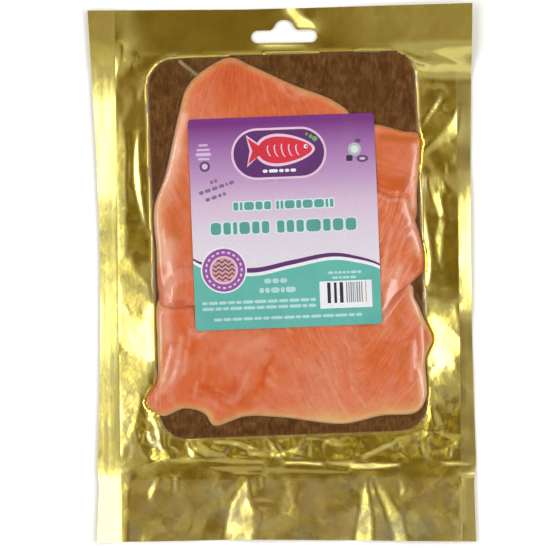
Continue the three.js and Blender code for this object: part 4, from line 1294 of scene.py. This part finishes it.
class Print:
    """What is printed on the label, lowest first: (ink, outline round the label's middle)."""

    def __init__(self, seed):
        self.shapes = []
        self.random = np.random.default_rng(seed)

    def shape(self, color, outline, u=0.0, v=0.0, turn=0.0):
        self.shapes.append((color, turned(outline, u, v, turn)))

    def strip(self, color, upper, lower):
        self.shape(color, np.concatenate([upper, lower[::-1]]))

    def bar(self, u, v, width, height, color, turn=0.0, corner=None, steps=2):
        corner = min(width, height) * 0.42 if corner is None else corner
        self.shape(color, rounded_rectangle(width, height, corner, steps), u, v, turn)

    def oval(self, u, v, width, height, color, turn=0.0):
        outline = np.stack([width / 2 * np.cos(ROUND_ANGLES), height / 2 * np.sin(ROUND_ANGLES)], 1)
        self.shape(color, outline, u, v, turn)

    def word_row(self, start, end, v, height, color, gap, longest, turn=0.0):
        """A row of bars in place of a line of words."""
        at = start
        while at < end - height:
            width = min(self.random.uniform(0.35, 1.0) * longest, end - at)
            middle = at + width / 2
            lift = math.tan(math.radians(turn)) * (middle - (start + end) / 2)
            self.bar(middle, v + lift, width, height, color, turn)
            at += width + gap

    def title(self, start, end, v, height, gap_at):
        """Plain blocks of uneven width with a pale halo, in place of a title."""
        blocks = []
        at = start
        while at < end - 1:
            if abs(at - gap_at) < height * 0.4:
                at += height * 0.45
            width = min(height * self.random.choice([0.32, 0.6, 0.85, 1.2]), end - at)
            blocks.append((at + width / 2, width))
            at += width + height * 0.2
        for grow, color in ((1.1, "halo"), (0.0, "teal_text")):
            for u, width in blocks:
                self.bar(u, v, width + grow, height + grow, color, 0, 0.3 * (min(width, height) + grow), 3)

    def swoosh(self):
        """A teal foot under a wave with a white line and a plum one."""
        knots = np.array(SWOOSH)
        curve = smooth_rim(np.concatenate([knots[:, :2], [(60, -40), (0, -90), (-60, -40)]]), 1.2)
        curve = curve[: int(np.argmax(curve[:, 0] > 45.9)) or None]
        thick = np.interp(curve[:, 0], knots[:, 0], knots[:, 2])

        def line(shift, share):
            return np.stack([curve[:, 0], curve[:, 1] + shift + share * thick], axis=1)

        self.strip("teal", line(-1.2, -0.5), np.array([(-60, -60), (60, -60)]))
        self.strip("white", line(0, 0), line(-1.6, -0.5))
        self.strip("plum", line(0, 0.5), line(0, -0.5))

    def fish_badge(self, u, v):
        """A plain fish on a plum badge."""
        for width, height, color in ((45.5, 24.6, "pink"), (43.4, 22.5, "plum")):
            self.bar(u, v, width, height, color, 0, height / 2 - 0.01, 10)
        for grow, color in ((1.3, "pink"), (0.0, "red")):
            body = np.stack([(13 + grow) * np.cos(ROUND_ANGLES),
                             (6.2 + grow) * np.sin(ROUND_ANGLES) * (1 - 0.3 * np.cos(ROUND_ANGLES))], 1)
            self.shape(color, body, u + 3, v + 1.6)
            tail = [(-9.0, grow / 2), (-18 - grow / 3, 6.4 + grow), (-15.6 - grow, 0),
                    (-18 - grow / 3, -6.4 - grow)]
            self.shape(color, tail, u + 3, v + 1.6)
        for k in range(5):
            for du, width, height, color in ((-4.5, 2.1, 6.6, "pink"), (-4.1, 1.7, 6.2, "red")):
                self.oval(u + du + 3.4 * k, v + 1.3, width, height - 0.7 * abs(k - 2), color, 14)
        self.oval(u + 13.0, v + 2.8, 2.0, 2.0, "white")
        self.oval(u + 13.3, v + 2.8, 1.0, 1.0, "black")
        for k, size in enumerate((2.4, 1.7, 1.2)):
            self.oval(u + 17.4 - 1.9 * k, v + 6.3 + 1.2 * k, size, size, "green")
        self.word_row(u - 8, u + 9, v - 8.3, 1.5, "white", 0.6, 4.5)

    def wave_badge(self, u, v):
        """A round badge with waves inside and a ring of dots."""
        for radius, color in ((11, "white"), (10.3, "violet"), (6.7, "pink"), (5.9, "tan")):
            self.oval(u, v, 2 * radius, 2 * radius, color)
        for k in range(-2, 3):
            a = np.linspace(-1, 1, 15) * math.sqrt(5.4 ** 2 - (2.1 * k) ** 2)
            wave = 2.1 * k + 0.6 * np.sin(a * 2.0)
            self.strip("plum", np.stack([a + u, wave + v + 0.4], 1), np.stack([a + u, wave + v - 0.4], 1))
        for k in range(20):
            spot = turned([(8.5, 0)], u, v, 18 * k)[0]
            self.bar(*spot, 0.9, 1.5, "pink", 18 * k, 0.3)

    def stripes(self, u, v):
        """A white panel with a row of dark stripes."""
        self.bar(u, v, 24.9, 13.0, "white", 0, 0.3)
        stripes = [(19.0, 1.6, "black"), (22.2, 1.3, "black"), (24.9, 1.7, "black")]
        at = 28.0
        while at < 35.4:
            width = self.random.uniform(0.35, 0.7)
            stripes.append((at, width, "slate"))
            at += width + self.random.uniform(0.35, 0.6)
        for start, width, color in stripes + [(37.15, 0.5, "tan")]:
            self.bar(start + width / 2, v + 0.9, width, 9.8, color, 0, 0.05)


# Rows of small words: start, end, height on the label, letter height, gap, longest word.
SMALL_ROWS = [
    (-11, 1.5, -28, 2.3, 0.5, 4), (-13.5, 4.5, -32.4, 2.6, 0.5, 5), (-41, 13.4, -37.6, 1.5, 0.5, 6),
    (-41, 13.4, -40.4, 1.5, 0.5, 6), (-35.7, 35.2, -45.6, 1.4, 0.5, 6),
    (19.5, 35.5, -25.2, 1.2, 0.4, 3.5), (21.5, 34.5, -27.6, 1.2, 0.4, 3.5),
]
# Small round marks: u, v, width, height, ink.
MARKS = [
    (-37.2, 27.8, 5, 5, "ash"), (-37.2, 27.8, 2.8, 2.8, "lilac"), (36.3, 37.4, 2.8, 2, "ash"),
    (34.6, 33.4, 6.2, 6.2, "silver"), (34.6, 33.4, 3.6, 3.6, "halo"), (38.2, 28.8, 5.6, 3.4, "ash"),
    (38.2, 28.8, 2.8, 1.3, "lilac"),
]


def label_shapes():
    """Everything printed on the label, lowest first: (ink, outline round the label's middle)."""
    page = Print(12)
    page.swoosh()
    page.fish_badge(-1.6, 32.8)
    page.title(-24.3, 23.5, 8.2, 3.9, -4)
    page.title(-35.5, 34, -2.2, 5.8, -7)
    page.wave_badge(-30, -22)
    for k, (width, height) in enumerate(((4.4, 1.0), (6.4, 1.0), (7.4, 1.5), (5.6, 1.0))):
        page.bar(-37.6, 38.0 - 2.2 * k, width, height, "lilac")
    for start, end, v in ((-35, -30.5, 20.6), (-40.5, -23.5, 17.5), (-37.5, -27, 13.2)):
        page.word_row(start, end, v, 1.7, "mauve", 0.5, 3.0, 17)
    for mark in MARKS:
        page.oval(*mark)
    page.bar(32.0, 29.2, 3.0, 2.8, "black", 0, 0.6)
    for start, end, v, height, gap, longest in SMALL_ROWS:
        page.word_row(start, end, v, height, "mist", gap, longest)
    page.stripes(27.8, -35.7)
    return page.shapes


INKS = {
    "teal": (0.11, 0.41, 0.355),
    "teal_text": (0.09, 0.31, 0.28),
    "halo": (0.60, 0.72, 0.70),
    "white": (0.74, 0.76, 0.78),
    "mist": (0.40, 0.62, 0.61),
    "plum": (0.105, 0.025, 0.135),
    "violet": (0.26, 0.075, 0.30),
    "pink": (0.72, 0.50, 0.64),
    "red": (0.60, 0.025, 0.045),
    "green": (0.12, 0.42, 0.08),
    "lilac": (0.60, 0.44, 0.66),
    "mauve": (0.22, 0.13, 0.25),
    "tan": (0.55, 0.30, 0.25),
    "ash": (0.10, 0.06, 0.12),
    "silver": (0.42, 0.45, 0.44),
    "slate": (0.22, 0.22, 0.25),
    "black": (0.03, 0.02, 0.04),
}


def make_label():
    """The label, cut along every printed shape so that each face has one print colour."""
    shapes = label_shapes()
    border = spaced(rounded_rectangle(LABEL["width"], LABEL["length"], LABEL["corner"]), 2.0)
    inset = rounded_rectangle(LABEL["width"] - 0.9, LABEL["length"] - 0.9, LABEL["corner"])
    coords, faces = triangulate([border] + [outline for _, outline in shapes], blade_points(inset, 2.2),
                                lambda x, y: inside(border, x, y))
    middle = coords[faces].mean(axis=1)
    names = list(INKS)
    color = np.zeros(len(faces), dtype=int)
    for name, outline in shapes:
        color[inside(outline, *middle.T)] = 1 + names.index(name)
    materials = [make_material("label_paper", printed_paper, label_gradient)]
    materials += [make_material("ink_" + name, printed_paper, ink, INKS[name]) for name in names]
    placed = turned(coords, LABEL["x"], LABEL["y"], LABEL["turn"])
    return sheet("label_sheet", placed, faces, sample(label_low, *placed.T), sample(label_high, *placed.T),
                 materials, {"label_v": coords[:, 1].copy()}, color)


# ------------------------------------------------------------------ the pieces


def dress(piece, node):
    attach(piece, "root")
    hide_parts(node)
    return piece


def make_foil():
    patches = [slot_patch(SLOT_BLOCK), plain_patch(UNDER_BOARD_BLOCK, 6.0)]
    points, faces = join_patches(grid_faces([SLOT_BLOCK, UNDER_BOARD_BLOCK]), patches)
    low = sample(foil_low, *points.T)
    crease = sample(crease_amount(foil_faceted), *points.T)
    return sheet("foil_back_panel", points, faces, low, low + FOIL_THICKNESS,
                 [make_material("gold_foil", gold_foil)], {"crease": crease})


SHINE_ON_FOIL = 1.8                 # both faces of the film reflect
SHINE_ON_BOARD = 0.05               # it clings to the board and the flesh and shines less there
SHINE_ON_FLESH = 0.4
SHINE_AT_RIM = 0.08                 # least of all where it dips over a slice's rim
SHINE_AT_ENDS = 0.2                 # and where it drops off the board's two short sides
SHINE_IN_FOLDS = 0.75

# The distances over which the shine changes, inside a rim of flesh or of the board.
FLESH_EDGE = (0.2, 1.2)
RIM_REACH = (2.5, 7.0)              # from the shine at a rim to the shine on flesh
BOARD_EDGE = (-0.8, 0.2)
SHINE_OVERHANG = (-3.2, -1.0)       # it also fades towards flesh that hangs over the board's side
STEP_ON_RIM = (-0.6, 1.0)           # the film's step down over a rim: middle, half width
BESIDE_BOARD = (-0.9, 0.8)
LONG_SIDES = (-66, -55, 92, 100)    # rows beside the board's long sides: start, full, fade, end
LOW_LEFT = (15, 25)                 # the left side shines less below these heights too
FOLD_HEIGHT = (0.02, 0.12)          # a fold shines from the first height, fully from the second
FOLD_EDGE = (-0.2, 0.8)
LOOSE_FOLDS = (80, -66)             # above and below these the film's folds stand on the board too


def film_shine():
    """How much the film shines: fully over foil and where it stands off the slices in folds."""
    on_flesh = smoothstep(any_slice, *FLESH_EDGE)
    on_board = smoothstep(board_depth, *BOARD_EDGE) * (1 - on_flesh)
    shine = toward(SHINE_ON_FOIL, SHINE_ON_BOARD, on_board)
    flesh_shine = toward(SHINE_AT_RIM, SHINE_ON_FLESH, smoothstep(any_slice, *RIM_REACH))
    shine = toward(shine, flesh_shine, on_flesh)
    overhang = smoothstep(any_slice, *SHINE_OVERHANG) * (1 - on_flesh) * smoothstep(-board_depth, -1.0, 0.0)
    shine = toward(shine, SHINE_AT_RIM, overhang)
    for name in ("salmon_slice_3", "salmon_slice_4"):
        step = bell(edge_distance(slice_rims[name], REAL_X, REAL_Y), *STEP_ON_RIM)
        shine = toward(shine, SHINE_AT_RIM, step * on_flesh)
    low_left = smoothstep(-REAL_Y, *LOW_LEFT) * (REAL_X < 0)
    ends = np.maximum(1 - span(REAL_Y, *LONG_SIDES), low_left)
    shine = toward(shine, SHINE_AT_ENDS, bell(board_depth, *BESIDE_BOARD) * ends)
    folds = smoothstep(film_ridges, *FOLD_HEIGHT)
    loose = (REAL_Y > LOOSE_FOLDS[0]) | (REAL_Y < LOOSE_FOLDS[1])
    return toward(shine, SHINE_IN_FOLDS, folds * np.maximum(smoothstep(any_slice, *FOLD_EDGE), loose))


EDGE_HIGHLIGHT = 0.36                  # strength of the painted highlight where the film bends down beside the board
EDGE_HIGHLIGHT_STRIP = (-0.7, 0.75)         # that strip's middle and half width, inside the board's rim
EDGE_HIGHLIGHT_ROWS = (-72, -60, 97, 104)   # full strength beside the board's long sides: as LONG_SIDES
EDGE_HIGHLIGHT_AT_ENDS = 0.2                # the share of it left at the short sides
CREASE_HIGHLIGHTS = [(-48, 102, -39.5, 95, 0.5, 0.42)]    # painted highlight along one crease: strokes, as in FAT_AND_SHEEN_BANDS below


def film_painted_highlights():
    """Painted highlight: a pale diffuse colour in the film along the board's edge and in one sharp crease,
    in place of the light that the film's folds there reflect.
    """
    edge = bell(board_depth, *EDGE_HIGHLIGHT_STRIP) * (1 - smoothstep(any_slice, -1.5, 0.0))
    share = toward(EDGE_HIGHLIGHT_AT_ENDS, 1, span(REAL_Y, *EDGE_HIGHLIGHT_ROWS))
    return EDGE_HIGHLIGHT * edge * share + stroke_field(REAL_X, REAL_Y, CREASE_HIGHLIGHTS)


def make_film():
    points, faces = join_patches(grid_faces([SLOT_BLOCK]), [slot_patch(SLOT_BLOCK)])
    low, shine, painted_highlight = (sample(field, *points.T) for field in (film_low, film_shine(), film_painted_highlights()))
    # The film carries its shine and its painted highlight as attributes.
    return sheet("front_film", points, faces, low, low + FILM_THICKNESS,
                 [make_material("clear_film", clear_film)], {"shine": shine, "painted_highlight": painted_highlight})


BOARD_BEVEL = (0.3, 0.15)           # the rounding of the board's upper edge: width, height


def make_board():
    """The board: a thin plate with a slightly rounded upper edge."""
    width, drop = BOARD_BEVEL
    rim = placed_rectangle(BOARD, 3.0)
    inner = dict(BOARD, width=BOARD["width"] - 2 * width, length=BOARD["length"] - 2 * width,
                 corner=BOARD["corner"] - width)
    coords, faces = triangulate([rim, placed_rectangle(inner, 3.0)], blade_points(rim, 7.0),
                                lambda x, y: inside(rim, x, y))
    top = np.where(edge_distance(rim, *coords.T) < 0.1, BOARD_TOP - drop, BOARD_TOP)
    return sheet("backing_board", coords, faces, np.full(len(coords), BOARD_BOTTOM), top,
                 [make_material("brown_board", brown_board)])


COVERED_RIM = 7.0                   # where one slice lies on the next its rim isn't pale
BARE_TIP = (-63, -57, 4, 7)         # the lowest left tip isn't pale either: centre, half sizes
RIM_INSET = dict(zip(SLICES, (0.0, 3.0, 0.8, 5.5)))    # the greater, the less of the pale rim shows
RIM_WIDENS = (0.72, 1.5)            # depth scale of the pale rim: wide at the foot's right and at the
                                    # long slice's left side, narrow elsewhere
WIDE_AT_FOOT = ((45, 60), (-15, 8))     # heights below the middle, places to the right of it
WIDE_AT_LEFT = ((40, 48), (-8, 8))      # places to the left of the middle, heights above it
COVERED_BELOW = (-6, 2)             # the long slice's foot, under the wide slice
SLACK_SIDE = (-15, 20)              # the wide slice's fat lines are faint left of these places
SLACK_SHARE = 0.75                  # and lose this share of their strength
FAT = dict(zip(SLICES, (0.75, 0.3, 0.6, 1.4)))         # how strongly the fat lines show
FLOW_LAYER = 126.0                  # where in the fat lines' noise the flesh is cut

# Redder or pinker places in each slice: centre, radius, strength (positive is redder).
TONE_SPOTS = dict(zip(SLICES, (
    [(-22, -57, 7, 0.9), (-8, -48, 6, 0.5), (-38, -58, 14, 0.35), (10, -40, 26, -0.35),
     (-30, -34, 18, -0.25), (50, -35, 18, 0.3), (20, -62, 22, -0.3), (-15, -36, 10, -0.3), (5, -29, 9, 0.4)],
    [(55, 60, 9, 0.3), (55, 53, 8, -0.6), (55, 42, 9, 0.8)],
    [(-24, 95, 9, 0.9), (-14, 84, 14, 0.3), (-30, 80, 12, -0.25), (10, 84, 14, 0.35), (-48, 0, 8, 0.5),
     (-52, 40, 12, -0.2)],
    [(52, 20, 12, 0.1), (60, 8, 8, 0.3)],
)))

# Soft strokes in the flesh: x and y of both ends, half width, strength.
# Pale fat lines, and painted highlights where the film's folds over the slices' edges reflect light.
FAT_AND_SHEEN_BANDS = [
    (-46.5, 76, -50, 60, 1.8, 0.4), (-50, 60, -54, 44, 2, 0.45), (-46.5, 76, -52, 59, 2.2, 0.6),
    (-52, 59, -57.5, 40, 3.2, 0.7), (-59.5, 35, -59, 18, 1.8, 0.8), (-58.5, 18, -57, 6.5, 2, 0.75),
    (-54, 15, -54.5, -9, 3, 0.75), (-40.5, -29, -36.5, -27, 1, 0.4), (64, 60, 62.5, 32, 1.6, 0.9),
    (58, 35.5, 61.5, 22, 1.2, 0.65), (62, 22, 65, 8, 1.5, 0.75), (55.5, 2, 50.5, -11, 1.7, 0.8),
    (50, -11, 47.5, -24, 1.1, 0.75), (60.5, -6, 63.5, -17.5, 1.4, 0.75), (63.5, -18.5, 67, -27, 1, 0.45),
    (65.5, -27, 66.5, -42.5, 0.8, 0.8), (62, -33.5, 60.5, -51, 1.2, 0.55),
    (64.5, -44, 66, -60.5, 1.3, 0.95), (55, 38.5, 54, 34.5, 0.6, 0.7), (1, -25, 3.5, -28.5, 0.5, 0.6),
    (23.5, -38, 25.5, -55, 0.5, 0.3), (16, -37.5, 23.5, -57, 0.6, 0.3), (23.5, -57, 31, -70.5, 0.6, 0.35),
    (31, -34.5, 32, -55, 0.5, 0.25), (32, -55, 38.5, -64, 0.6, 0.35), (65, -51, 53, -62, 0.6, 0.25),
    (52, 22, 48.5, 5, 0.8, 0.35), (49.5, 10.5, 46.5, -8.5, 0.7, 0.3), (58.5, 19, 54.5, 5, 0.7, 0.2),
    (-50.5, 54, -49.5, 49.5, 0.7, 0.2), (-56, -15.5, -56, -30, 2.6, 0.6),
    (-49.5, -30, -51, -41.5, 1.5, 0.5), (-51, -41.5, -54, -51, 1.2, 0.5), (-53.5, -36, -58, -50, 1.2, 0.7),
    (-58, -50, -61.5, -58.5, 1, 0.55), (-51.5, -45.5, -58, -55.5, 0.9, 0.5), (-47, -37, -48, -46.5, 1, 0.5),
    (-45, -26.5, -45.5, -33, 1, 0.3), (-42, -51.5, -43.5, -58.5, 0.9, 0.32), (-38, -43, -39, -50.5, 1, 0.2),
    (-17.5, -48, -22.5, -58.5, 1.1, 0.3), (-8, -51, -6, -53, 1.6, 0.35), (-7, -45, -4, -49.5, 1, 0.25),
    (-25, -34, -33, -42, 2, 0.2), (-10.5, -31.5, -21, -37, 2.2, 0.2),
]
# Darker amber, where the cure has dried the flesh.
AMBER_MARKS = [
    (47.5, 64.5, 63.5, 63, 1.7, 1), (-52, 29, -50, 16.5, 2.4, 0.55), (-48, 44.5, -47, 33.5, 1.9, 0.35),
    (57.5, -37.5, 56, -43, 1.9, 0.5), (31.5, -29.5, 33.5, -32, 1.9, 0.4), (63.5, 7.5, 63, 0, 1.6, 0.6),
    (67.5, -29, 69, -35, 1.1, 0.7), (-10, -27.5, -6, -27, 1.4, 0.4), (-21.5, -58, -17.5, -62.5, 2.4, 0.25),
    (33.5, -50.5, 37, -57, 2.4, 0.3), (-32, -69.5, -25.5, -67, 1.9, 0.3), (54, 43, 61, 42, 2.9, 0.4),
    (-31.5, 100, -17, 99.5, 1.9, 0.5), (57, -13.5, 54.5, -24, 1.9, 0.35),
]
# Deep red, and one painted shadow (the first stroke).
RED_MARKS_AND_STEP_SHADE = [
    # The first stroke is painted shade along the step where the long slice's foot meets the wide slice.
    (-51.5, -13.5, -45, -13.5, 1.1, 1.2), (-44, -33.5, -47, -26.5, 1.4, 0.5),
    (19.5, -27.5, 22, -29, 1.4, 0.5), (65, -22, 65.5, -26, 1, 0.7), (49, 38.5, 47.5, 34.5, 1, 0.4),
    (51, -11.5, 53, -15, 1.1, 0.5), (-40, -53.5, -36, -55, 1.6, 0.8), (-36, -55, -32, -58, 1.5, 0.8),
    (-44.5, -56, -40.5, -57.5, 1.5, 0.4), (-5, -39, -8.5, -45, 0.8, 0.9),
    (-9.5, -45, -10.5, -53.5, 1.3, 0.85), (-12.5, -52.5, -14, -56.5, 1, 0.7),
    (-11, -58.5, -9, -62.5, 0.9, 0.5), (-20, -47, -16.5, -42, 1, 0.4), (-42, -32, -44.5, -37, 1.6, 0.6),
    (-48, -33.5, -49, -37, 0.9, 0.5), (-53.5, -43.5, -55.5, -48.5, 0.7, 0.7), (7.5, -47, 9, -53, 1, 0.35),
    (17.5, -37.5, 15, -42.5, 1, 0.35),
]


def stroke_field(x, y, strokes):
    """Soft strokes, added up."""
    field = np.zeros(np.shape(x))
    for ax, ay, bx, by, width, strength in strokes:
        field = field + strength * bell(segment_distance(x, y, ax, ay, bx, by), 0, width)
    return field


def rim_depth(name, x, y, depth):
    """How deep in a slice its flesh counts for the pale rim: the greater, the less pale it is."""
    rows, places = WIDE_AT_FOOT
    wide = smoothstep(-y, *rows) * smoothstep(x, *places)
    if name == "salmon_slice_3":
        places, rows = WIDE_AT_LEFT
        wide = np.maximum(wide, smoothstep(-x, *places) * smoothstep(y, *rows))
    narrow_scale, wide_scale = RIM_WIDENS[::-1]
    fade = depth * toward(narrow_scale, wide_scale, wide) + RIM_INSET[name]
    if name == "salmon_slice_3":
        fade = fade + COVERED_RIM * smoothstep(-y, *COVERED_BELOW)
    if name == "salmon_slice_1":
        tip_x, tip_y, half_width, half_length = BARE_TIP
        fade = fade + COVERED_RIM * bell(x, tip_x, half_width) * bell(y, tip_y, half_length)
    return fade


def flesh_tone(name, x, y):
    # The red strokes include one painted shadow at the step by the long slice's foot.
    tone = 0.25 * layered_noise(x, y, 24, 90) + stroke_field(x, y, RED_MARKS_AND_STEP_SHADE)
    for spot_x, spot_y, radius, strength in TONE_SPOTS[name]:
        tone = tone + strength * bell(np.hypot(x - spot_x, y - spot_y), 0, radius)
    return tone


def make_slice(name, material):
    rim = slice_rims[name]
    coords, faces = triangulate([rim], blade_points(rim, 1.15), lambda x, y: inside(rim, x, y))
    x, y = coords.T
    thickness, depth = slice_thickness(name, rim, x, y)
    low = sample(slice_bottoms[name], x, y)
    slack = SLACK_SHARE * (1 - smoothstep(x, *SLACK_SIDE)) * (name == "salmon_slice_1")
    attributes = {
        "flow": np.stack([FLOWS[name](x, y), y - 0.2 * x, np.full(x.shape, FLOW_LAYER)], axis=1),
        "rim": rim_depth(name, x, y, np.clip(depth, 0, None)), "tone": flesh_tone(name, x, y),
        "fat": FAT[name] * (1 - slack),
        # Pale fat lines and painted film highlights, as one field of strokes.
        "fat_and_sheen": stroke_field(x, y, FAT_AND_SHEEN_BANDS), "amber": stroke_field(x, y, AMBER_MARKS),
    }
    return sheet("flesh_" + name[-1], coords, faces, low, low + thickness, [material], attributes)


def make_pieces():
    dress(make_foil(), "foil_back")
    dress(make_board(), "board")
    flesh = make_material("salmon", salmon_flesh)
    for name in SLICES:
        dress(make_slice(name, flesh), name)
    dress(make_film(), "clear_film")
    dress(make_label(), "label")


# ------------------------------------------------------------------ the studio

CAMERA_AIM = (-3.98, -0.62)         # the point of the pack at the middle of the image
CAMERA_HEIGHT = 3000.0
CAMERA_ROLL = -0.75
VIEW_WIDTH = 263.2                  # what the image spans on the table
SENSOR = 36.0


def make_camera():
    data = bpy.data.cameras.new("camera")
    data.sensor_width = SENSOR
    data.lens = SENSOR * CAMERA_HEIGHT / VIEW_WIDTH
    data.clip_end = 100.0
    camera = bpy.data.objects.new("camera", data)
    camera.location = (CAMERA_AIM[0] * MM, CAMERA_AIM[1] * MM, CAMERA_HEIGHT * MM)
    camera.rotation_euler = (0.0, 0.0, math.radians(CAMERA_ROLL))
    bpy.context.collection.objects.link(camera)
    bpy.context.scene.camera = camera


FLOOR_HALF = 3.0                    # in metres
FLOOR_DEPTH = 0.0002


def pale_floor(nodes, place):
    shade = nodes.between(nodes.texture(place, 3, 2), 0.3, 0.7)
    return nodes.diffuse(nodes.mix(shade, rgb(0.96, 0.96, 0.96), rgb(0.985, 0.985, 0.985)))


def make_floor():
    mesh = bpy.data.meshes.new("floor")
    corners = [(FLOOR_HALF * sx, FLOOR_HALF * sy, 0) for sx, sy in ((-1, -1), (1, -1), (1, 1), (-1, 1))]
    mesh.from_pydata(corners, [], [(0, 1, 2, 3)])
    mesh.materials.append(make_material("pale_floor", pale_floor))
    floor = bpy.data.objects.new("floor", mesh)
    floor.location.z = -FLOOR_DEPTH
    bpy.context.collection.objects.link(floor)


# Light by the slope of its direction from the vertical. The ceiling straight above is dim and
# warm. It brightens outwards to the soft boxes on both sides.
# The ceiling: slope, colour. The boxes: from slope, to slope, light gained between them. The ends
# and sizes: slopes where a box starts to fade and is gone.
CEILING = [(0.0, (0.128, 0.079, 0.016)), (0.1, (0.215, 0.154, 0.058)), (0.2, (0.37, 0.31, 0.23)),
           (0.32, (0.48, 0.46, 0.42)), (0.6, (0.36, 0.355, 0.35))]
SIDE_BOX = [(0.22, 0.31, 0.4), (0.3, 0.36, 0.5), (0.36, 0.45, 3.0), (0.6, 0.75, 0.3)]
SIDE_END = (0.92, 1.17)
SIDE_HALF_LENGTH = (0.42, 0.65)
END_HALF_WIDTH = (0.35, 0.6)
TOP_BOX = ((0.3, 0.5), (0.8, 1.0), 1.7)
FOOT_BOX = ((0.36, 0.6), (0.8, 1.0), 0.8)


def make_light():
    """Studio light: a dim ceiling, a long soft box on each side and a smaller one at each end."""
    world = bpy.data.worlds.new("studio")
    bpy.context.scene.world = world
    world.use_nodes = True
    nodes = Nodes(world.node_tree)
    direction = nodes.add("TexCoord").outputs["Generated"]
    x, y, z = nodes.add("SeparateXYZ", {0: direction}).outputs
    height = nodes.math("MAXIMUM", z, 0.02)
    across = nodes.math("DIVIDE", x, height)
    along = nodes.math("DIVIDE", y, height)
    sideways = nodes.math("ABSOLUTE", across)
    side = 0.0
    for low, high, added in SIDE_BOX:
        side = nodes.plus(nodes.between(sideways, low, high, 0.0, added), side)
    side = nodes.times(side, nodes.between(sideways, *reversed(SIDE_END)))
    lengthways = nodes.math("ABSOLUTE", along)
    light = nodes.times(side, nodes.between(lengthways, *reversed(SIDE_HALF_LENGTH)))
    for sign, (start, end, strength) in ((1.0, TOP_BOX), (-1.0, FOOT_BOX)):
        reach = nodes.times(along, sign)
        box = nodes.times(nodes.between(reach, *start, 0.0, strength), nodes.between(reach, *reversed(end)))
        box = nodes.times(box, nodes.between(sideways, *reversed(END_HALF_WIDTH)))
        light = nodes.math("MAXIMUM", light, box)
    light = nodes.times(light, nodes.between(z, 0.05, 0.2))
    grey = nodes.add("CombineXYZ", {0: light, 1: light, 2: light}).outputs[0]
    spread = nodes.math("SQRT", nodes.plus(nodes.times(across, across), nodes.times(along, along)))
    color = nodes.mix(1.0, nodes.ramp(spread, CEILING), grey, "LIGHTEN")
    background = nodes.add("Background", {"Color": color, "Strength": 1.0})
    nodes.feed(nodes.add("OutputWorld").inputs["Surface"], background.outputs[0])


def set_view():
    settings = bpy.context.scene.view_settings
    settings.view_transform = "Standard"
    settings.look = "None"
    settings.exposure = 0.0


make_camera()
make_pieces()
make_floor()
make_light()
set_view()
